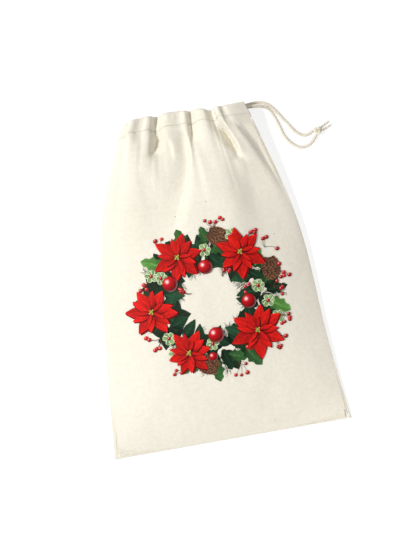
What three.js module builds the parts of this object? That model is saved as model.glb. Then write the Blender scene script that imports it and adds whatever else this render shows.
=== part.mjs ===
// Drawstring gift pouch: a flat cotton canvas pouch that lies on its back, lightly puffed out,
// with its mouth half drawn together. A cord runs through the casing round the mouth, leaves it
// at the right-hand side seam and is knotted into a loop beside the pouch.
// Frame: origin on the resting surface under the middle of the pouch, +X to the side where the
// cord comes out, +Y towards the mouth, +Z out of the printed face. Millimetres.
import * as THREE from "three";

// ---- Driving dimensions ----
const WIDTH = 250; // along the bottom seam
const HEIGHT = 347; // from the bottom seam to the mouth's edge
const WALL = 0.8; // canvas, as a handling thickness
const GAP = 0.3; // clearance between sewn pieces
const SEAM_WIDTH = 10; // seam allowance, turned inwards
const SEAM_THICKNESS = 1.2; // both layers of the allowance
const CORD_DIAMETER = 3.6;
const CASING_HEIGHT = 20; // from the mouth's edge down to the casing's stitch line
const CASING_LEFT = -49.5; // the gathered casing's two ends
const CASING_RIGHT = 71;
const MOUTH_GAP = 5.4; // between the back and the front casing
const THREAD_RADIUS = 0.25;
const THREAD_CLEARANCE = 0.2;
const BARTACK_RADIUS = 0.5;
const PRINT_THICKNESS = 0.3;
const PRINT_GAP = 0.7; // clears the flats of the panel beneath
const PRINT_CENTRE = [3, 146]; // across, and up from the bottom seam
const PRINT_OUTER_RADIUS = 86;
const PRINT_INNER_RADIUS = 23;
const PANEL_COLUMNS = 20;
const PANEL_ROWS = 16;

// ---- Sizes that follow from them ----
const CASING_THICKNESS = CORD_DIAMETER + 2 * (WALL + GAP);
const BACK_CASING_Z = CASING_THICKNESS / 2;
const FRONT_CASING_Z = BACK_CASING_Z + CASING_THICKNESS + MOUTH_GAP;
const TURN_RADIUS = (FRONT_CASING_Z - BACK_CASING_Z) / 2;
const TURN_Z = (FRONT_CASING_Z + BACK_CASING_Z) / 2;
const PANEL_TOP = HEIGHT - CASING_HEIGHT - GAP;
const SEAM_STACK = WALL + GAP + SEAM_THICKNESS + GAP; // from the back panel up to the front one
const CORD_START = CASING_RIGHT + GAP;

// ---- Routes of the cord's two free runs: across, up from the bottom seam, height ----
const BACK_RUN = [
  [CORD_START, 339.0, BACK_CASING_Z],
  [77.9, 339.7, 2.7],
  [84.0, 339.9, 2.3],
  [88.6, 339.4, 2.0],
  [93.6, 337.6, 1.9],
  [99.0, 333.6, 1.9],
  [104.6, 326.4, 1.9],
  [108.9, 319.4, 1.9],
  [113.4, 313.0, 1.9],
  [117.4, 306.6, 1.9],
  [121.6, 301.6, 1.9],
  [126.4, 298.4, 2.0],
  [130.8, 297.8, 2.4],
  [134.6, 299.2, 3.2],
  [138.2, 301.0, 4.0],
];
const FRONT_RUN = [
  [CORD_START, 335.7, FRONT_CASING_Z],
  [77.0, 335.7, 13.6],
  [82.0, 335.5, 11.7],
  [86.5, 335.2, 9.0],
  [91.0, 334.2, 6.2],
  [95.2, 332.0, 4.1],
  [98.3, 328.2, 2.8],
  [101.0, 322.6, 2.0],
  [103.6, 315.5, 1.9],
  [105.6, 308.2, 1.9],
  [107.9, 300.8, 1.9],
  [112.5, 293.6, 1.9],
  [118.2, 288.2, 1.9],
  [123.2, 286.1, 1.9],
  [128.6, 286.2, 1.9],
  [133.4, 288.4, 2.2],
  [137.4, 292.0, 2.9],
  [140.6, 296.2, 3.8],
];
const KNOT = { centre: [143.0, 300.3, 4.2], radii: [4.1, 4.1, 3.9] };
const TAIL_RADIUS = 1.4;
const UPPER_TAIL = [
  [147.0, 303.1, 3.6],
  [150.8, 305.2, 2.3],
  [155.0, 307.2, 1.5],
];
const LOWER_TAIL = [
  [147.9, 299.9, 3.6],
  [151.8, 301.3, 2.2],
  [156.0, 303.2, 1.5],
];

// ---- Materials ----
const canvas = cloth(0xf6f0e0, 0.95);
const canvasEdge = cloth(0xeae2cc, 0.95);
const thread = cloth(0xf2ead6, 0.9);
const cotton = cloth(0xf1e9d6, 0.95);
const print = cloth(0x4d6b3a, 0.8);

function cloth(color, roughness) {
  return new THREE.MeshStandardMaterial({ color, roughness, metalness: 0 });
}

// ---- The pouch's form ----
// A smooth value along the pouch, through [distance from the bottom seam, value] stops.
function profile(stops) {
  const distances = stops.map((stop) => stop[0]);
  const values = stops.map((stop) => stop[1]);
  const spline = new THREE.CubicInterpolant(distances, values, 1);
  return (along) => spline.evaluate(along)[0];
}

const leftEdge = profile([
  [0, -WIDTH / 2],
  [106, -114.5],
  [206, -102],
  [256, -91],
  [306, -72.6],
  [HEIGHT, -52],
]);
const rightEdge = profile([
  [0, WIDTH / 2],
  [106, 114],
  [206, 106.7],
  [256, 97.5],
  [306, 84],
  [HEIGHT, 70],
]);
// How far the side seams are lifted off the resting surface.
const seamHeight = profile([
  [0, 3],
  [80, 7],
  [HEIGHT, 7],
]);
// How far the front stands off the seam stack along the middle.
const crown = profile([
  [0, 0],
  [25, 12],
  [70, 23],
  [140, 30],
  [220, 29],
  [280, 20],
  [PANEL_TOP, FRONT_CASING_Z - WALL / 2 - SEAM_STACK],
]);
const FLAT_SHARE = 0.75; // share of the half width over which the back lies flat
const DOME_POWER = 0.8;

// Across the pouch: -1 at the left edge, 1 at the right edge.
function acrossAt(share, along) {
  return THREE.MathUtils.mapLinear(share, -1, 1, leftEdge(along), rightEdge(along));
}

function shareAt(x, along) {
  return THREE.MathUtils.mapLinear(x, leftEdge(along), rightEdge(along), -1, 1);
}

// Underside of the back panel.
function backZ(share, along) {
  return seamHeight(along) * THREE.MathUtils.smoothstep(Math.abs(share), FLAT_SHARE, 1);
}

// Inner face of the front panel.
function frontZ(share, along) {
  const dome = Math.abs(Math.cos((share * Math.PI) / 2)) ** DOME_POWER;
  return SEAM_STACK + THREE.MathUtils.lerp(seamHeight(along), crown(along), dome);
}

function inPartFrame([x, along, z]) {
  return new THREE.Vector3(x, along - HEIGHT / 2, z);
}

// ---- Building blocks ----
// Moves each vertex of a closed shape to where place() says.
function warp(geometry, place) {
  const position = geometry.getAttribute("position");
  const point = new THREE.Vector3();
  for (let i = 0; i < position.count; i++) {
    const placed = inPartFrame(place(point.fromBufferAttribute(position, i)));
    position.setXYZ(i, placed.x, placed.y, placed.z);
  }
  geometry.deleteAttribute("normal");
  geometry.deleteAttribute("uv");
  return geometry;
}

// A sheet whose place(share, up, layer) takes -1 to 1 across, 0 to 1 along, 0 or 1 through.
function sheet(columns, rows, place) {
  const slab = new THREE.BoxGeometry(2, 1, 1, columns, rows, 1);
  return warp(slab, (p) => place(p.x, p.y + 0.5, p.z + 0.5));
}

// A round strand along hand-set points.
function strand(points, radius, sides, steps) {
  const section = new THREE.Shape().absarc(0, 0, radius, 0, 2 * Math.PI);
  return new THREE.ExtrudeGeometry(section, {
    extrudePath: new THREE.CatmullRomCurve3(points.map(inPartFrame)),
    steps,
    curveSegments: sides / 2,
    bevelEnabled: false,
  });
}

function stadium(path, length, thickness) {
  const radius = thickness / 2;
  const straight = length / 2 - radius;
  path.absarc(straight, 0, radius, -Math.PI / 2, Math.PI / 2);
  path.absarc(-straight, 0, radius, Math.PI / 2, (3 * Math.PI) / 2);
  path.closePath();
  return path;
}

const pouch = new THREE.Group();

function add(name, geometry, material) {
  const mesh = new THREE.Mesh(geometry, material);
  mesh.name = name;
  pouch.add(mesh);
  return mesh;
}

// ---- Panels ----
function panel(surface) {
  return sheet(PANEL_COLUMNS, PANEL_ROWS, (share, up, layer) => {
    const along = up * PANEL_TOP;
    return [acrossAt(share, along), along, surface(share, along) + layer * WALL];
  });
}

add("back_panel", panel(backZ), canvas);
add("front_panel", panel(frontZ), canvas);

// The printed wreath: a thin ring of ink that follows the front panel.
function printedRing() {
  const steps = 5;
  const profilePoints = [];
  for (let i = 0; i <= steps; i++) {
    const radius = THREE.MathUtils.lerp(PRINT_INNER_RADIUS, PRINT_OUTER_RADIUS, i / steps);
    profilePoints.push(new THREE.Vector2(radius, 0));
  }
  for (let i = steps; i >= 0; i--) {
    profilePoints.push(new THREE.Vector2(profilePoints[i].x, 1));
  }
  profilePoints.push(profilePoints[0].clone());
  return warp(new THREE.LatheGeometry(profilePoints, 44), (p) => {
    const x = PRINT_CENTRE[0] + p.x;
    const along = PRINT_CENTRE[1] - p.z;
    const face = frontZ(shareAt(x, along), along) + WALL + PRINT_GAP;
    return [x, along, face + p.y * PRINT_THICKNESS];
  });
}

add("wreath_print", printedRing(), print);

// ---- Seams: the two allowances, turned inwards between the panels ----
function sideSeam(edge, inwards) {
  const bottom = SEAM_WIDTH + GAP;
  return sheet(1, PANEL_ROWS, (share, up, layer) => {
    const along = THREE.MathUtils.lerp(bottom, PANEL_TOP, up);
    const inset = ((1 + inwards * share) / 2) * SEAM_WIDTH;
    const z = seamHeight(along) + WALL + GAP + layer * SEAM_THICKNESS;
    return [edge(along) + inwards * inset, along, z];
  });
}

function bottomSeam() {
  return sheet(PANEL_COLUMNS, 1, (share, up, layer) => {
    const along = up * SEAM_WIDTH;
    const z = backZ(share, along) + WALL + GAP + layer * SEAM_THICKNESS;
    return [acrossAt(share, along), along, z];
  });
}

add("left_side_seam", sideSeam(leftEdge, 1), canvasEdge);
add("right_side_seam", sideSeam(rightEdge, -1), canvasEdge);
add("bottom_seam", bottomSeam(), canvasEdge);

// ---- Casing: the hem that holds the cord, one flattened tube on each panel ----
const ALONG_X = new THREE.Matrix4().makeBasis(
  new THREE.Vector3(0, 1, 0),
  new THREE.Vector3(0, 0, 1),
  new THREE.Vector3(1, 0, 0),
);

function casing(name, z) {
  const section = stadium(new THREE.Shape(), CASING_HEIGHT, CASING_THICKNESS);
  const tunnel = stadium(
    new THREE.Path(),
    CASING_HEIGHT - 2 * WALL,
    CASING_THICKNESS - 2 * WALL,
  );
  section.holes.push(tunnel);
  const geometry = new THREE.ExtrudeGeometry(section, {
    depth: CASING_RIGHT - CASING_LEFT,
    curveSegments: 4,
    bevelEnabled: false,
  });
  geometry.applyMatrix4(ALONG_X);
  const mesh = add(name, geometry, canvas);
  mesh.position.set(CASING_LEFT, HEIGHT / 2 - CASING_HEIGHT / 2, z);
}

casing("back_casing", BACK_CASING_Z);
casing("front_casing", FRONT_CASING_Z);

// Where the casing goes round from the back to the front, at the left-hand side seam.
function casingFold() {
  const outer = TURN_RADIUS + CASING_THICKNESS / 2;
  const section = new THREE.Shape();
  section.absarc(0, 0, outer, Math.PI / 2, (3 * Math.PI) / 2);
  section.absarc(0, 0, outer - WALL, (3 * Math.PI) / 2, Math.PI / 2, true);
  section.closePath();
  const geometry = new THREE.ExtrudeGeometry(section, {
    depth: CASING_HEIGHT,
    curveSegments: 6,
    bevelEnabled: false,
  });
  return geometry.rotateX(Math.PI / 2);
}

const fold = add("left_casing_fold", casingFold(), canvas);
fold.position.set(CASING_LEFT - GAP, HEIGHT / 2, TURN_Z);

// ---- Stitching ----
function threadAcross(surface, along, reach) {
  const steps = PANEL_COLUMNS;
  const points = [];
  for (let i = 0; i <= steps; i++) {
    const share = reach * ((2 * i) / steps - 1);
    const z = surface(share, along) + THREAD_CLEARANCE + THREAD_RADIUS;
    points.push([acrossAt(share, along), along, z]);
  }
  return strand(points, THREAD_RADIUS, 4, steps);
}

function threadUp(edge, inwards) {
  const inset = 8;
  const start = SEAM_WIDTH + 2;
  const end = PANEL_TOP - 5;
  const steps = 14;
  const points = [];
  for (let i = 0; i <= steps; i++) {
    const along = THREE.MathUtils.lerp(start, end, i / steps);
    const underSeam = seamHeight(along) + WALL + GAP;
    const z = underSeam - THREAD_CLEARANCE - THREAD_RADIUS;
    points.push([edge(along) + inwards * inset, along, z]);
  }
  return strand(points, THREAD_RADIUS, 4, steps);
}

function bartack(surface, share) {
  const points = [316, 320, 324].map((along) => [
    acrossAt(share, along),
    along,
    surface(share, along) + THREAD_CLEARANCE + BARTACK_RADIUS,
  ]);
  return strand(points, BARTACK_RADIUS, 6, 2);
}

const onFront = (share, along) => frontZ(share, along) + WALL;
const onBack = (share, along) => backZ(share, along) + WALL;
const onBottomSeam = (share, along) => onBack(share, along) + GAP + SEAM_THICKNESS;
const stitchLine = PANEL_TOP - 2;
const FLAT_REACH = 0.7; // stitching over the flat part of the back

add("front_casing_stitch", threadAcross(onFront, stitchLine, 0.97), thread);
add("back_casing_stitch", threadAcross(onBack, stitchLine, FLAT_REACH), thread);
add("bottom_stitch", threadAcross(onBottomSeam, 6, FLAT_REACH), thread);
add("left_side_stitch", threadUp(leftEdge, 1), thread);
add("right_side_stitch", threadUp(rightEdge, -1), thread);
add("front_opening_bartack", bartack(onFront, 0.95), thread);
add("back_opening_bartack", bartack(onBack, FLAT_REACH), thread);

// ---- Drawcord ----
const CORD_RADIUS = CORD_DIAMETER / 2;

function casedRun([, along, z]) {
  const left = inPartFrame([CASING_LEFT + GAP, along, z]);
  const right = inPartFrame([CASING_RIGHT - GAP, along, z]);
  const run = new THREE.CylinderGeometry(CORD_RADIUS, CORD_RADIUS, right.x - left.x, 8);
  run.rotateZ(-Math.PI / 2);
  return run.translate((left.x + right.x) / 2, left.y, left.z);
}

// Half a turn inside the casing's fold, from the back casing to the front one.
function casedTurn() {
  const steps = 12;
  const points = [];
  for (let i = 0; i <= steps; i++) {
    const angle = (Math.PI * i) / steps;
    points.push([
      CASING_LEFT - GAP - TURN_RADIUS * Math.sin(angle),
      THREE.MathUtils.lerp(BACK_RUN[0][1], FRONT_RUN[0][1], i / steps),
      TURN_Z - TURN_RADIUS * Math.cos(angle),
    ]);
  }
  return strand(points, CORD_RADIUS, 8, steps);
}

function knotBody() {
  const [rx, ry, rz] = KNOT.radii;
  const centre = inPartFrame(KNOT.centre);
  const ball = new THREE.SphereGeometry(1, 16, 10).rotateX(Math.PI / 2);
  return ball.scale(rx, ry, rz).translate(centre.x, centre.y, centre.z);
}

add("drawcord_back_cased", casedRun(BACK_RUN[0]), cotton);
add("drawcord_front_cased", casedRun(FRONT_RUN[0]), cotton);
add("drawcord_left_turn", casedTurn(), cotton);
add("drawcord_back_run", strand(BACK_RUN, CORD_RADIUS, 8, 28), cotton);
add("drawcord_front_run", strand(FRONT_RUN, CORD_RADIUS, 8, 32), cotton);
add("drawcord_knot", knotBody(), cotton);
add("drawcord_upper_tail", strand(UPPER_TAIL, TAIL_RADIUS, 8, 4), cotton);
add("drawcord_lower_tail", strand(LOWER_TAIL, TAIL_RADIUS, 8, 4), cotton);

export default pouch;
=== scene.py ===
import math

import bpy
import numpy as np
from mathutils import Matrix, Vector, noise
from mathutils.bvhtree import BVHTree


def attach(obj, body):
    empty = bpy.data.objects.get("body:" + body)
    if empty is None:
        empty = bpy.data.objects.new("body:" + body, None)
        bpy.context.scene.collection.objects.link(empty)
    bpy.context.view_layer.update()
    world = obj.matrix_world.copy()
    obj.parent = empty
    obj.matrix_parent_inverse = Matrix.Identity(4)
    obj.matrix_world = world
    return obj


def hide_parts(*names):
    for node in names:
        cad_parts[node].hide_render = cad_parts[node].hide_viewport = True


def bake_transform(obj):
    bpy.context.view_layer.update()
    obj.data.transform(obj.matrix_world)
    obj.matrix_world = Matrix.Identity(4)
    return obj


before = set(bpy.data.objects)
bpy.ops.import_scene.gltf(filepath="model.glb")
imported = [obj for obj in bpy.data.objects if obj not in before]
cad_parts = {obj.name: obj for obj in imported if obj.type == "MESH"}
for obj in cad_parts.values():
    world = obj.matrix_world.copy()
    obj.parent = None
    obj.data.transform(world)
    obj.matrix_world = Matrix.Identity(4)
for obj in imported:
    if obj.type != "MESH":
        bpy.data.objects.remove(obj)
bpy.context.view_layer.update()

# A gathered canvas pouch that lies on its back. x runs across it, y from the bottom seam to
# the mouth and z up. v is the distance from the bottom seam, so y = v - HALF_HEIGHT. Metres.
MM = 0.001
HEIGHT = 0.347
HALF_HEIGHT = HEIGHT / 2
CANVAS_THICKNESS = 0.0007

# ---------------------------------------------------------------- curves and grids


def spline(stops):
    """A natural cubic through (position, value) stops, as a function of the position."""
    xs, ys = np.array(stops, float).T
    count, h = len(xs), np.diff(xs)
    matrix, right = np.eye(count), np.zeros(count)
    for i in range(1, count - 1):
        matrix[i, i - 1:i + 2] = h[i - 1], 2 * (h[i - 1] + h[i]), h[i]
        right[i] = 6 * ((ys[i + 1] - ys[i]) / h[i] - (ys[i] - ys[i - 1]) / h[i - 1])
    m = np.linalg.solve(matrix, right)

    def value(x):
        x = np.clip(np.asarray(x, float), xs[0], xs[-1])
        i = np.clip(np.searchsorted(xs, x) - 1, 0, count - 2)
        a, b = (xs[i + 1] - x) / h[i], (x - xs[i]) / h[i]
        bend = ((a ** 3 - a) * m[i] + (b ** 3 - b) * m[i + 1]) * h[i] ** 2 / 6
        return a * ys[i] + b * ys[i + 1] + bend

    return value


def smoothstep(x, low, high):
    t = np.clip((np.asarray(x, float) - low) / (high - low), 0, 1)
    return t * t * (3 - 2 * t)


def cubic_line(values, at):
    """values along axis 0, read at fractional indices by a Catmull-Rom cubic."""
    values, at = np.asarray(values, float), np.asarray(at, float)
    padded = np.concatenate([2 * values[:1] - values[1:2], values, 2 * values[-1:] - values[-2:-1]])
    i = np.clip(np.floor(at).astype(int), 0, len(values) - 2)
    t = (at - i).reshape((-1,) + (1,) * (values.ndim - 1))
    p0, p1, p2, p3 = padded[i], padded[i + 1], padded[i + 2], padded[i + 3]
    return 0.5 * (
        2 * p1 + (p2 - p0) * t + (2 * p0 - 5 * p1 + 4 * p2 - p3) * t ** 2
        + (3 * p1 - p0 - 3 * p2 + p3) * t ** 3
    )


def resample(grid, rows, columns):
    """A grid of points read at fractional rows and columns."""
    tall = cubic_line(grid, rows)
    return cubic_line(tall.transpose(1, 0, 2), columns).transpose(1, 0, 2)


def grid_normals(grid):
    across, along = np.gradient(grid, axis=1), np.gradient(grid, axis=0)
    n = np.cross(across, along)
    return n / np.maximum(np.linalg.norm(n, axis=2, keepdims=True), 1e-12)


def grid_faces(rows, columns, first=0, flip=False):
    """Quads of a rows by columns grid of vertices that starts at index first."""
    i = np.arange(rows * columns).reshape(rows, columns) + first
    quads = np.stack([i[:-1, :-1], i[:-1, 1:], i[1:, 1:], i[1:, :-1]], -1).reshape(-1, 4)
    return quads[:, ::-1] if flip else quads


def noise_at(points, scale, seed=0.0):
    """Smooth noise from -1 to 1 at each of the points, with features of the given size."""
    return np.array([noise.noise(Vector(p) / scale + Vector((seed, seed * 1.7, 0))) for p in points])


def running_length(points):
    """How far along a line each of its points lies."""
    return np.concatenate([[0], np.cumsum(np.linalg.norm(np.diff(points, axis=0), axis=1))])


def even_line(points, step):
    """A smooth curve through the points, with a point every step."""
    points = np.asarray(points, float)
    fine = cubic_line(points, np.linspace(0, len(points) - 1, 40 * len(points)))
    run = running_length(fine)
    at = np.linspace(0, run[-1], max(4, int(round(run[-1] / step)) + 1))
    return np.stack([np.interp(at, run, fine[:, k]) for k in range(3)], 1)


# ---------------------------------------------------------------- mesh objects


def mesh_object(name, points, faces, cloth=None, ink=None):
    """A smooth-shaded mesh. cloth is each point's place on the flat cloth, ink its colour."""
    mesh = bpy.data.meshes.new(name)
    mesh.from_pydata(np.asarray(points, float).tolist(), [], [tuple(map(int, f)) for f in faces])
    mesh.update()
    mesh.polygons.foreach_set("use_smooth", np.ones(len(mesh.polygons), bool))
    if cloth is not None:
        attribute = mesh.attributes.new("cloth", "FLOAT_VECTOR", "POINT")
        attribute.data.foreach_set("vector", np.asarray(cloth, np.float32).ravel())
    if ink is not None:
        attribute = mesh.attributes.new("ink", "FLOAT_COLOR", "POINT")
        rgba = np.concatenate([ink, np.ones((len(ink), 1))], 1)
        attribute.data.foreach_set("color", rgba.astype(np.float32).ravel())
    obj = bpy.data.objects.new(name, mesh)
    bpy.context.scene.collection.objects.link(obj)
    return obj


def apply_modifiers(obj):
    """Makes the evaluated mesh the object's own, with no modifier left on it."""
    evaluated = obj.evaluated_get(bpy.context.evaluated_depsgraph_get())
    mesh = bpy.data.meshes.new_from_object(evaluated)
    obj.modifiers.clear()
    obj.data = mesh
    return obj


def thicken(obj, thickness):
    """Gives a sheet its thickness on its inner side."""
    solid = obj.modifiers.new("thickness", "SOLIDIFY")
    solid.thickness = thickness
    solid.offset = -1
    solid.use_rim = True
    shells = 2 * len(obj.data.polygons)
    apply_modifiers(obj)
    smooth = np.arange(len(obj.data.polygons)) < shells  # the rim stays flat
    obj.data.polygons.foreach_set("use_smooth", smooth)
    return obj


TUBE_SIDES = 18


def ring_quads(index, flip=False):
    """Quads between rings of vertex numbers, one ring a row."""
    around = np.roll(index, -1, 1)
    others = [index[1:], around[1:], around[:-1]]
    if flip:
        others = others[::-1]
    return np.stack([index[:-1], *others], -1).reshape(-1, 4).tolist()


def ring_faces(rings, sides, flip=False):
    """The quads of a tube with a flat face over each end."""
    index = np.arange(rings * sides).reshape(rings, sides)
    ends = [index[0], index[-1, ::-1]]
    if flip:
        ends = [end[::-1] for end in ends]
    return ring_quads(index, flip) + [end.tolist() for end in ends]


def joined(shapes):
    """Several (points, faces) shapes as one."""
    points, faces, count = [], [], 0
    for made, quads in shapes:
        points.append(made)
        faces += [[int(k) + count for k in face] for face in quads]
        count += len(made)
    return np.concatenate(points), faces


def tube(points, ring, closed=False):
    """A tube round the points. ring(i, angles) gives ring i's radii. Returns points and faces."""
    points = np.asarray(points, float)
    if closed:
        tangents = np.roll(points, -1, 0) - np.roll(points, 1, 0)
    else:
        tangents = np.gradient(points, axis=0)
    tangents /= np.linalg.norm(tangents, axis=1, keepdims=True)
    side = np.cross(tangents[0], [0, 0, 1])
    side /= np.linalg.norm(side)
    angles = np.arange(TUBE_SIDES) * 2 * np.pi / TUBE_SIDES
    made = []
    for i, (centre, tangent) in enumerate(zip(points, tangents)):
        side = side - tangent * (side @ tangent)
        side /= np.linalg.norm(side)
        up = np.cross(side, tangent)
        radii = ring(i, angles)
        across, upwards = radii * np.cos(angles), radii * np.sin(angles)
        made.append(centre + np.outer(across, side) + np.outer(upwards, up))
    index = np.arange(len(points) * TUBE_SIDES).reshape(len(points), TUBE_SIDES)
    made = np.concatenate(made)
    if closed:
        return made, ring_quads(np.concatenate([index, index[:1]]))
    made = np.concatenate([made, points[:1], points[-1:]])
    start, end = len(made) - 2, len(made) - 1
    faces = ring_quads(index)
    faces += [(start, a, b) for a, b in zip(index[0], np.roll(index[0], -1))]
    faces += [(end, b, a) for a, b in zip(index[-1], np.roll(index[-1], -1))]
    return made, faces


# ---------------------------------------------------------------- camera, light and floor

CAMERA_PLACE = (0.0056, 0.0064, 1.5)
CAMERA_TURN_DEG = -10.1
VIEW_LONG_SIDE = 0.5573  # what the long side of the picture takes in at the floor
WORLD_STRENGTH = 0.50
KEY_STRENGTH = 2.62
KEY_ANGLE = 0.14
KEY_FROM = (-0.88, 0.08, 1.10)
FLOOR_HALF = 3.0


def make_camera():
    data = bpy.data.cameras.new("camera")
    data.lens = data.sensor_width * CAMERA_PLACE[2] / VIEW_LONG_SIDE
    camera = bpy.data.objects.new("camera", data)
    camera.location = CAMERA_PLACE
    camera.rotation_euler = (0, 0, math.radians(CAMERA_TURN_DEG))
    bpy.context.scene.collection.objects.link(camera)
    bpy.context.scene.camera = camera


def make_studio():
    scene = bpy.context.scene
    scene.view_settings.view_transform = "Standard"
    world = bpy.data.worlds.new("studio")
    world.use_nodes = True
    background = world.node_tree.nodes["Background"]
    background.inputs["Color"].default_value = (1.0, 1.0, 1.0, 1.0)
    background.inputs["Strength"].default_value = WORLD_STRENGTH
    scene.world = world
    data = bpy.data.lights.new("key", "SUN")
    data.energy, data.angle = KEY_STRENGTH, KEY_ANGLE
    key = bpy.data.objects.new("key", data)
    key.rotation_euler = (-Vector(KEY_FROM)).to_track_quat("-Z", "Y").to_euler()
    scene.collection.objects.link(key)


def make_floor():
    corners = [(x * FLOOR_HALF, y * FLOOR_HALF, 0) for x, y in ((-1, -1), (1, -1), (1, 1), (-1, 1))]
    floor = mesh_object("floor", corners, [(0, 1, 2, 3)])
    return floor


# ---------------------------------------------------------------- materials


class Nodes:
    """A material being made: node() adds a node and sets or links its inputs."""

    def __init__(self, name):
        self.material = bpy.data.materials.new(name)
        self.material.use_nodes = True
        self.tree = self.material.node_tree
        self.shader = self.tree.nodes["Principled BSDF"]

    def node(self, kind, inputs=None, **settings):
        made = self.tree.nodes.new(kind)
        for key, value in settings.items():
            setattr(made, key, value)
        for key, value in (inputs or {}).items():
            self.put(made.inputs[key], value)
        return made

    def put(self, socket, value):
        if isinstance(value, bpy.types.NodeSocket):
            self.tree.links.new(value, socket)
        else:
            socket.default_value = value

    def math(self, operation, a, b=0.0):
        return self.node("ShaderNodeMath", {0: a, 1: b}, operation=operation).outputs[0]

    def ramp(self, factor, stops):
        made = self.node("ShaderNodeValToRGB", {"Fac": factor})
        elements = made.color_ramp.elements
        while len(elements) < len(stops):
            elements.new(0.5)
        for element, (position, colour) in zip(elements, stops):
            element.position = position
            element.color = (*colour, 1.0)
        return made.outputs["Color"]

    def mix(self, factor, a, b, blend="MIX"):
        made = self.node("ShaderNodeMix", data_type="RGBA", blend_type=blend)
        for socket, value in zip((made.inputs[0], made.inputs[6], made.inputs[7]), (factor, a, b)):
            self.put(socket, value)
        return made.outputs[2]

    def noise(self, vector, scale, detail=3.0, rough=0.55):
        inputs = {"Vector": vector, "Scale": scale, "Detail": detail, "Roughness": rough}
        return self.node("ShaderNodeTexNoise", inputs).outputs["Fac"]

    def wave(self, vector, scale, direction, distortion=0.0):
        inputs = {"Vector": vector, "Scale": scale, "Distortion": distortion, "Detail": 2.0}
        made = self.node("ShaderNodeTexWave", inputs, wave_type="BANDS", bands_direction=direction)
        return made.outputs["Fac"]

    def bump(self, height, strength, distance, normal=None):
        inputs = {"Height": height, "Strength": strength, "Distance": distance}
        if normal is not None:
            inputs["Normal"] = normal
        return self.node("ShaderNodeBump", inputs).outputs["Normal"]

    def finish(self, colour, roughness, normal, **plain):
        """Links colour, roughness and normal, and sets the named plain sockets."""
        self.put(self.shader.inputs["Base Color"], colour)
        self.put(self.shader.inputs["Roughness"], roughness)
        self.put(self.shader.inputs["Normal"], normal)
        for key, value in plain.items():
            self.shader.inputs[key.replace("_", " ")].default_value = value
        return self.material


YARNS_PER_METRE = 750.0
WAVE_SCALE = YARNS_PER_METRE * 2 * math.pi / 20  # a wave texture at scale 1 has 20 / (2 pi) bands a metre
YARN_WOBBLE = 0.6
SLUB_ALONG, SLUB_ACROSS = 60.0, 900.0
CLOUD_SCALE, MOTTLE_SCALE, INK_MOTTLE_SCALE = 9.0, 230.0, 420.0
SPECK_SCALE, SPECK_RADIUS, SPECK_RARITY = 62.0, 0.045, 0.55


def weave_height(nodes, place):
    """A woven look: ridges of warp and weft yarns that cross, the higher one on top."""
    warp, weft = (nodes.wave(place, WAVE_SCALE, way, YARN_WOBBLE) for way in ("X", "Y"))
    return nodes.math("MAXIMUM", warp, weft)


def slub_height(nodes, place, scale):
    """Yarns that are thicker here and there, drawn out along one direction of the weave."""
    stretch = nodes.node("ShaderNodeMapping", {"Vector": place, "Scale": scale})
    return nodes.noise(stretch.outputs["Vector"], 1.0, 2.0)


SEED_SPECK = (0.33, 0.21, 0.10)


def canvas_material(name, light, dark):
    """Unbleached cotton canvas with uneven yarns, slubs and a few brown seed specks."""
    nodes = Nodes(name)
    place = nodes.node("ShaderNodeAttribute", attribute_name="cloth").outputs["Vector"]
    cloudy = nodes.noise(place, CLOUD_SCALE, 4.0)
    mottled = nodes.noise(place, MOTTLE_SCALE, 3.0, 0.7)
    warp_slub = slub_height(nodes, place, (SLUB_ACROSS, SLUB_ALONG, 1.0))
    weft_slub = slub_height(nodes, place, (SLUB_ALONG, SLUB_ACROSS, 1.0))
    slub = nodes.math("ADD", warp_slub, weft_slub)
    faint = nodes.math("MULTIPLY", cloudy, 0.25)
    tone = nodes.math("ADD", faint, nodes.math("MULTIPLY", mottled, 0.45))
    tone = nodes.math("ADD", tone, nodes.math("MULTIPLY", slub, 0.15))
    cloth = nodes.ramp(tone, [(0.30, dark), (0.62, light)])
    specks = nodes.node("ShaderNodeTexVoronoi", {"Vector": place, "Scale": SPECK_SCALE})
    near = nodes.math("LESS_THAN", specks.outputs["Distance"], SPECK_RADIUS)
    rare = nodes.math("GREATER_THAN", specks.outputs["Color"], SPECK_RARITY)
    speckled = nodes.math("MULTIPLY", nodes.math("MULTIPLY", near, rare), 0.7)
    flecked = nodes.mix(speckled, cloth, (*SEED_SPECK, 1.0))
    height = nodes.math("ADD", weave_height(nodes, place), nodes.math("MULTIPLY", slub, 0.8))
    woven = nodes.bump(height, 0.55, 0.00012)
    soft = nodes.bump(mottled, 0.35, 0.0003, woven)
    rough = nodes.math("ADD", nodes.math("MULTIPLY", mottled, 0.12), 0.80)
    plain = {"Sheen_Weight": 0.18, "Sheen_Roughness": 0.5, "Specular_IOR_Level": 0.22}
    return nodes.finish(flecked, rough, soft, **plain)


def thread_material(name, light, dark, fibres):
    """Cotton yarn: fine fibres along a twist, with slightly uneven colour."""
    nodes = Nodes(name)
    place = nodes.node("ShaderNodeTexCoord").outputs["Object"]
    fine = nodes.noise(place, fibres, 4.0, 0.7)
    broad = nodes.noise(place, fibres / 8, 2.0)
    tone = nodes.math("ADD", nodes.math("MULTIPLY", fine, 0.6), nodes.math("MULTIPLY", broad, 0.4))
    colour = nodes.ramp(tone, [(0.34, dark), (0.64, light)])
    normal = nodes.bump(fine, 0.6, 0.00025)
    rough = nodes.math("ADD", nodes.math("MULTIPLY", fine, 0.15), 0.78)
    plain = {"Sheen_Weight": 0.25, "Sheen_Roughness": 0.5, "Specular_IOR_Level": 0.2}
    return nodes.finish(colour, rough, normal, **plain)


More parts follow.
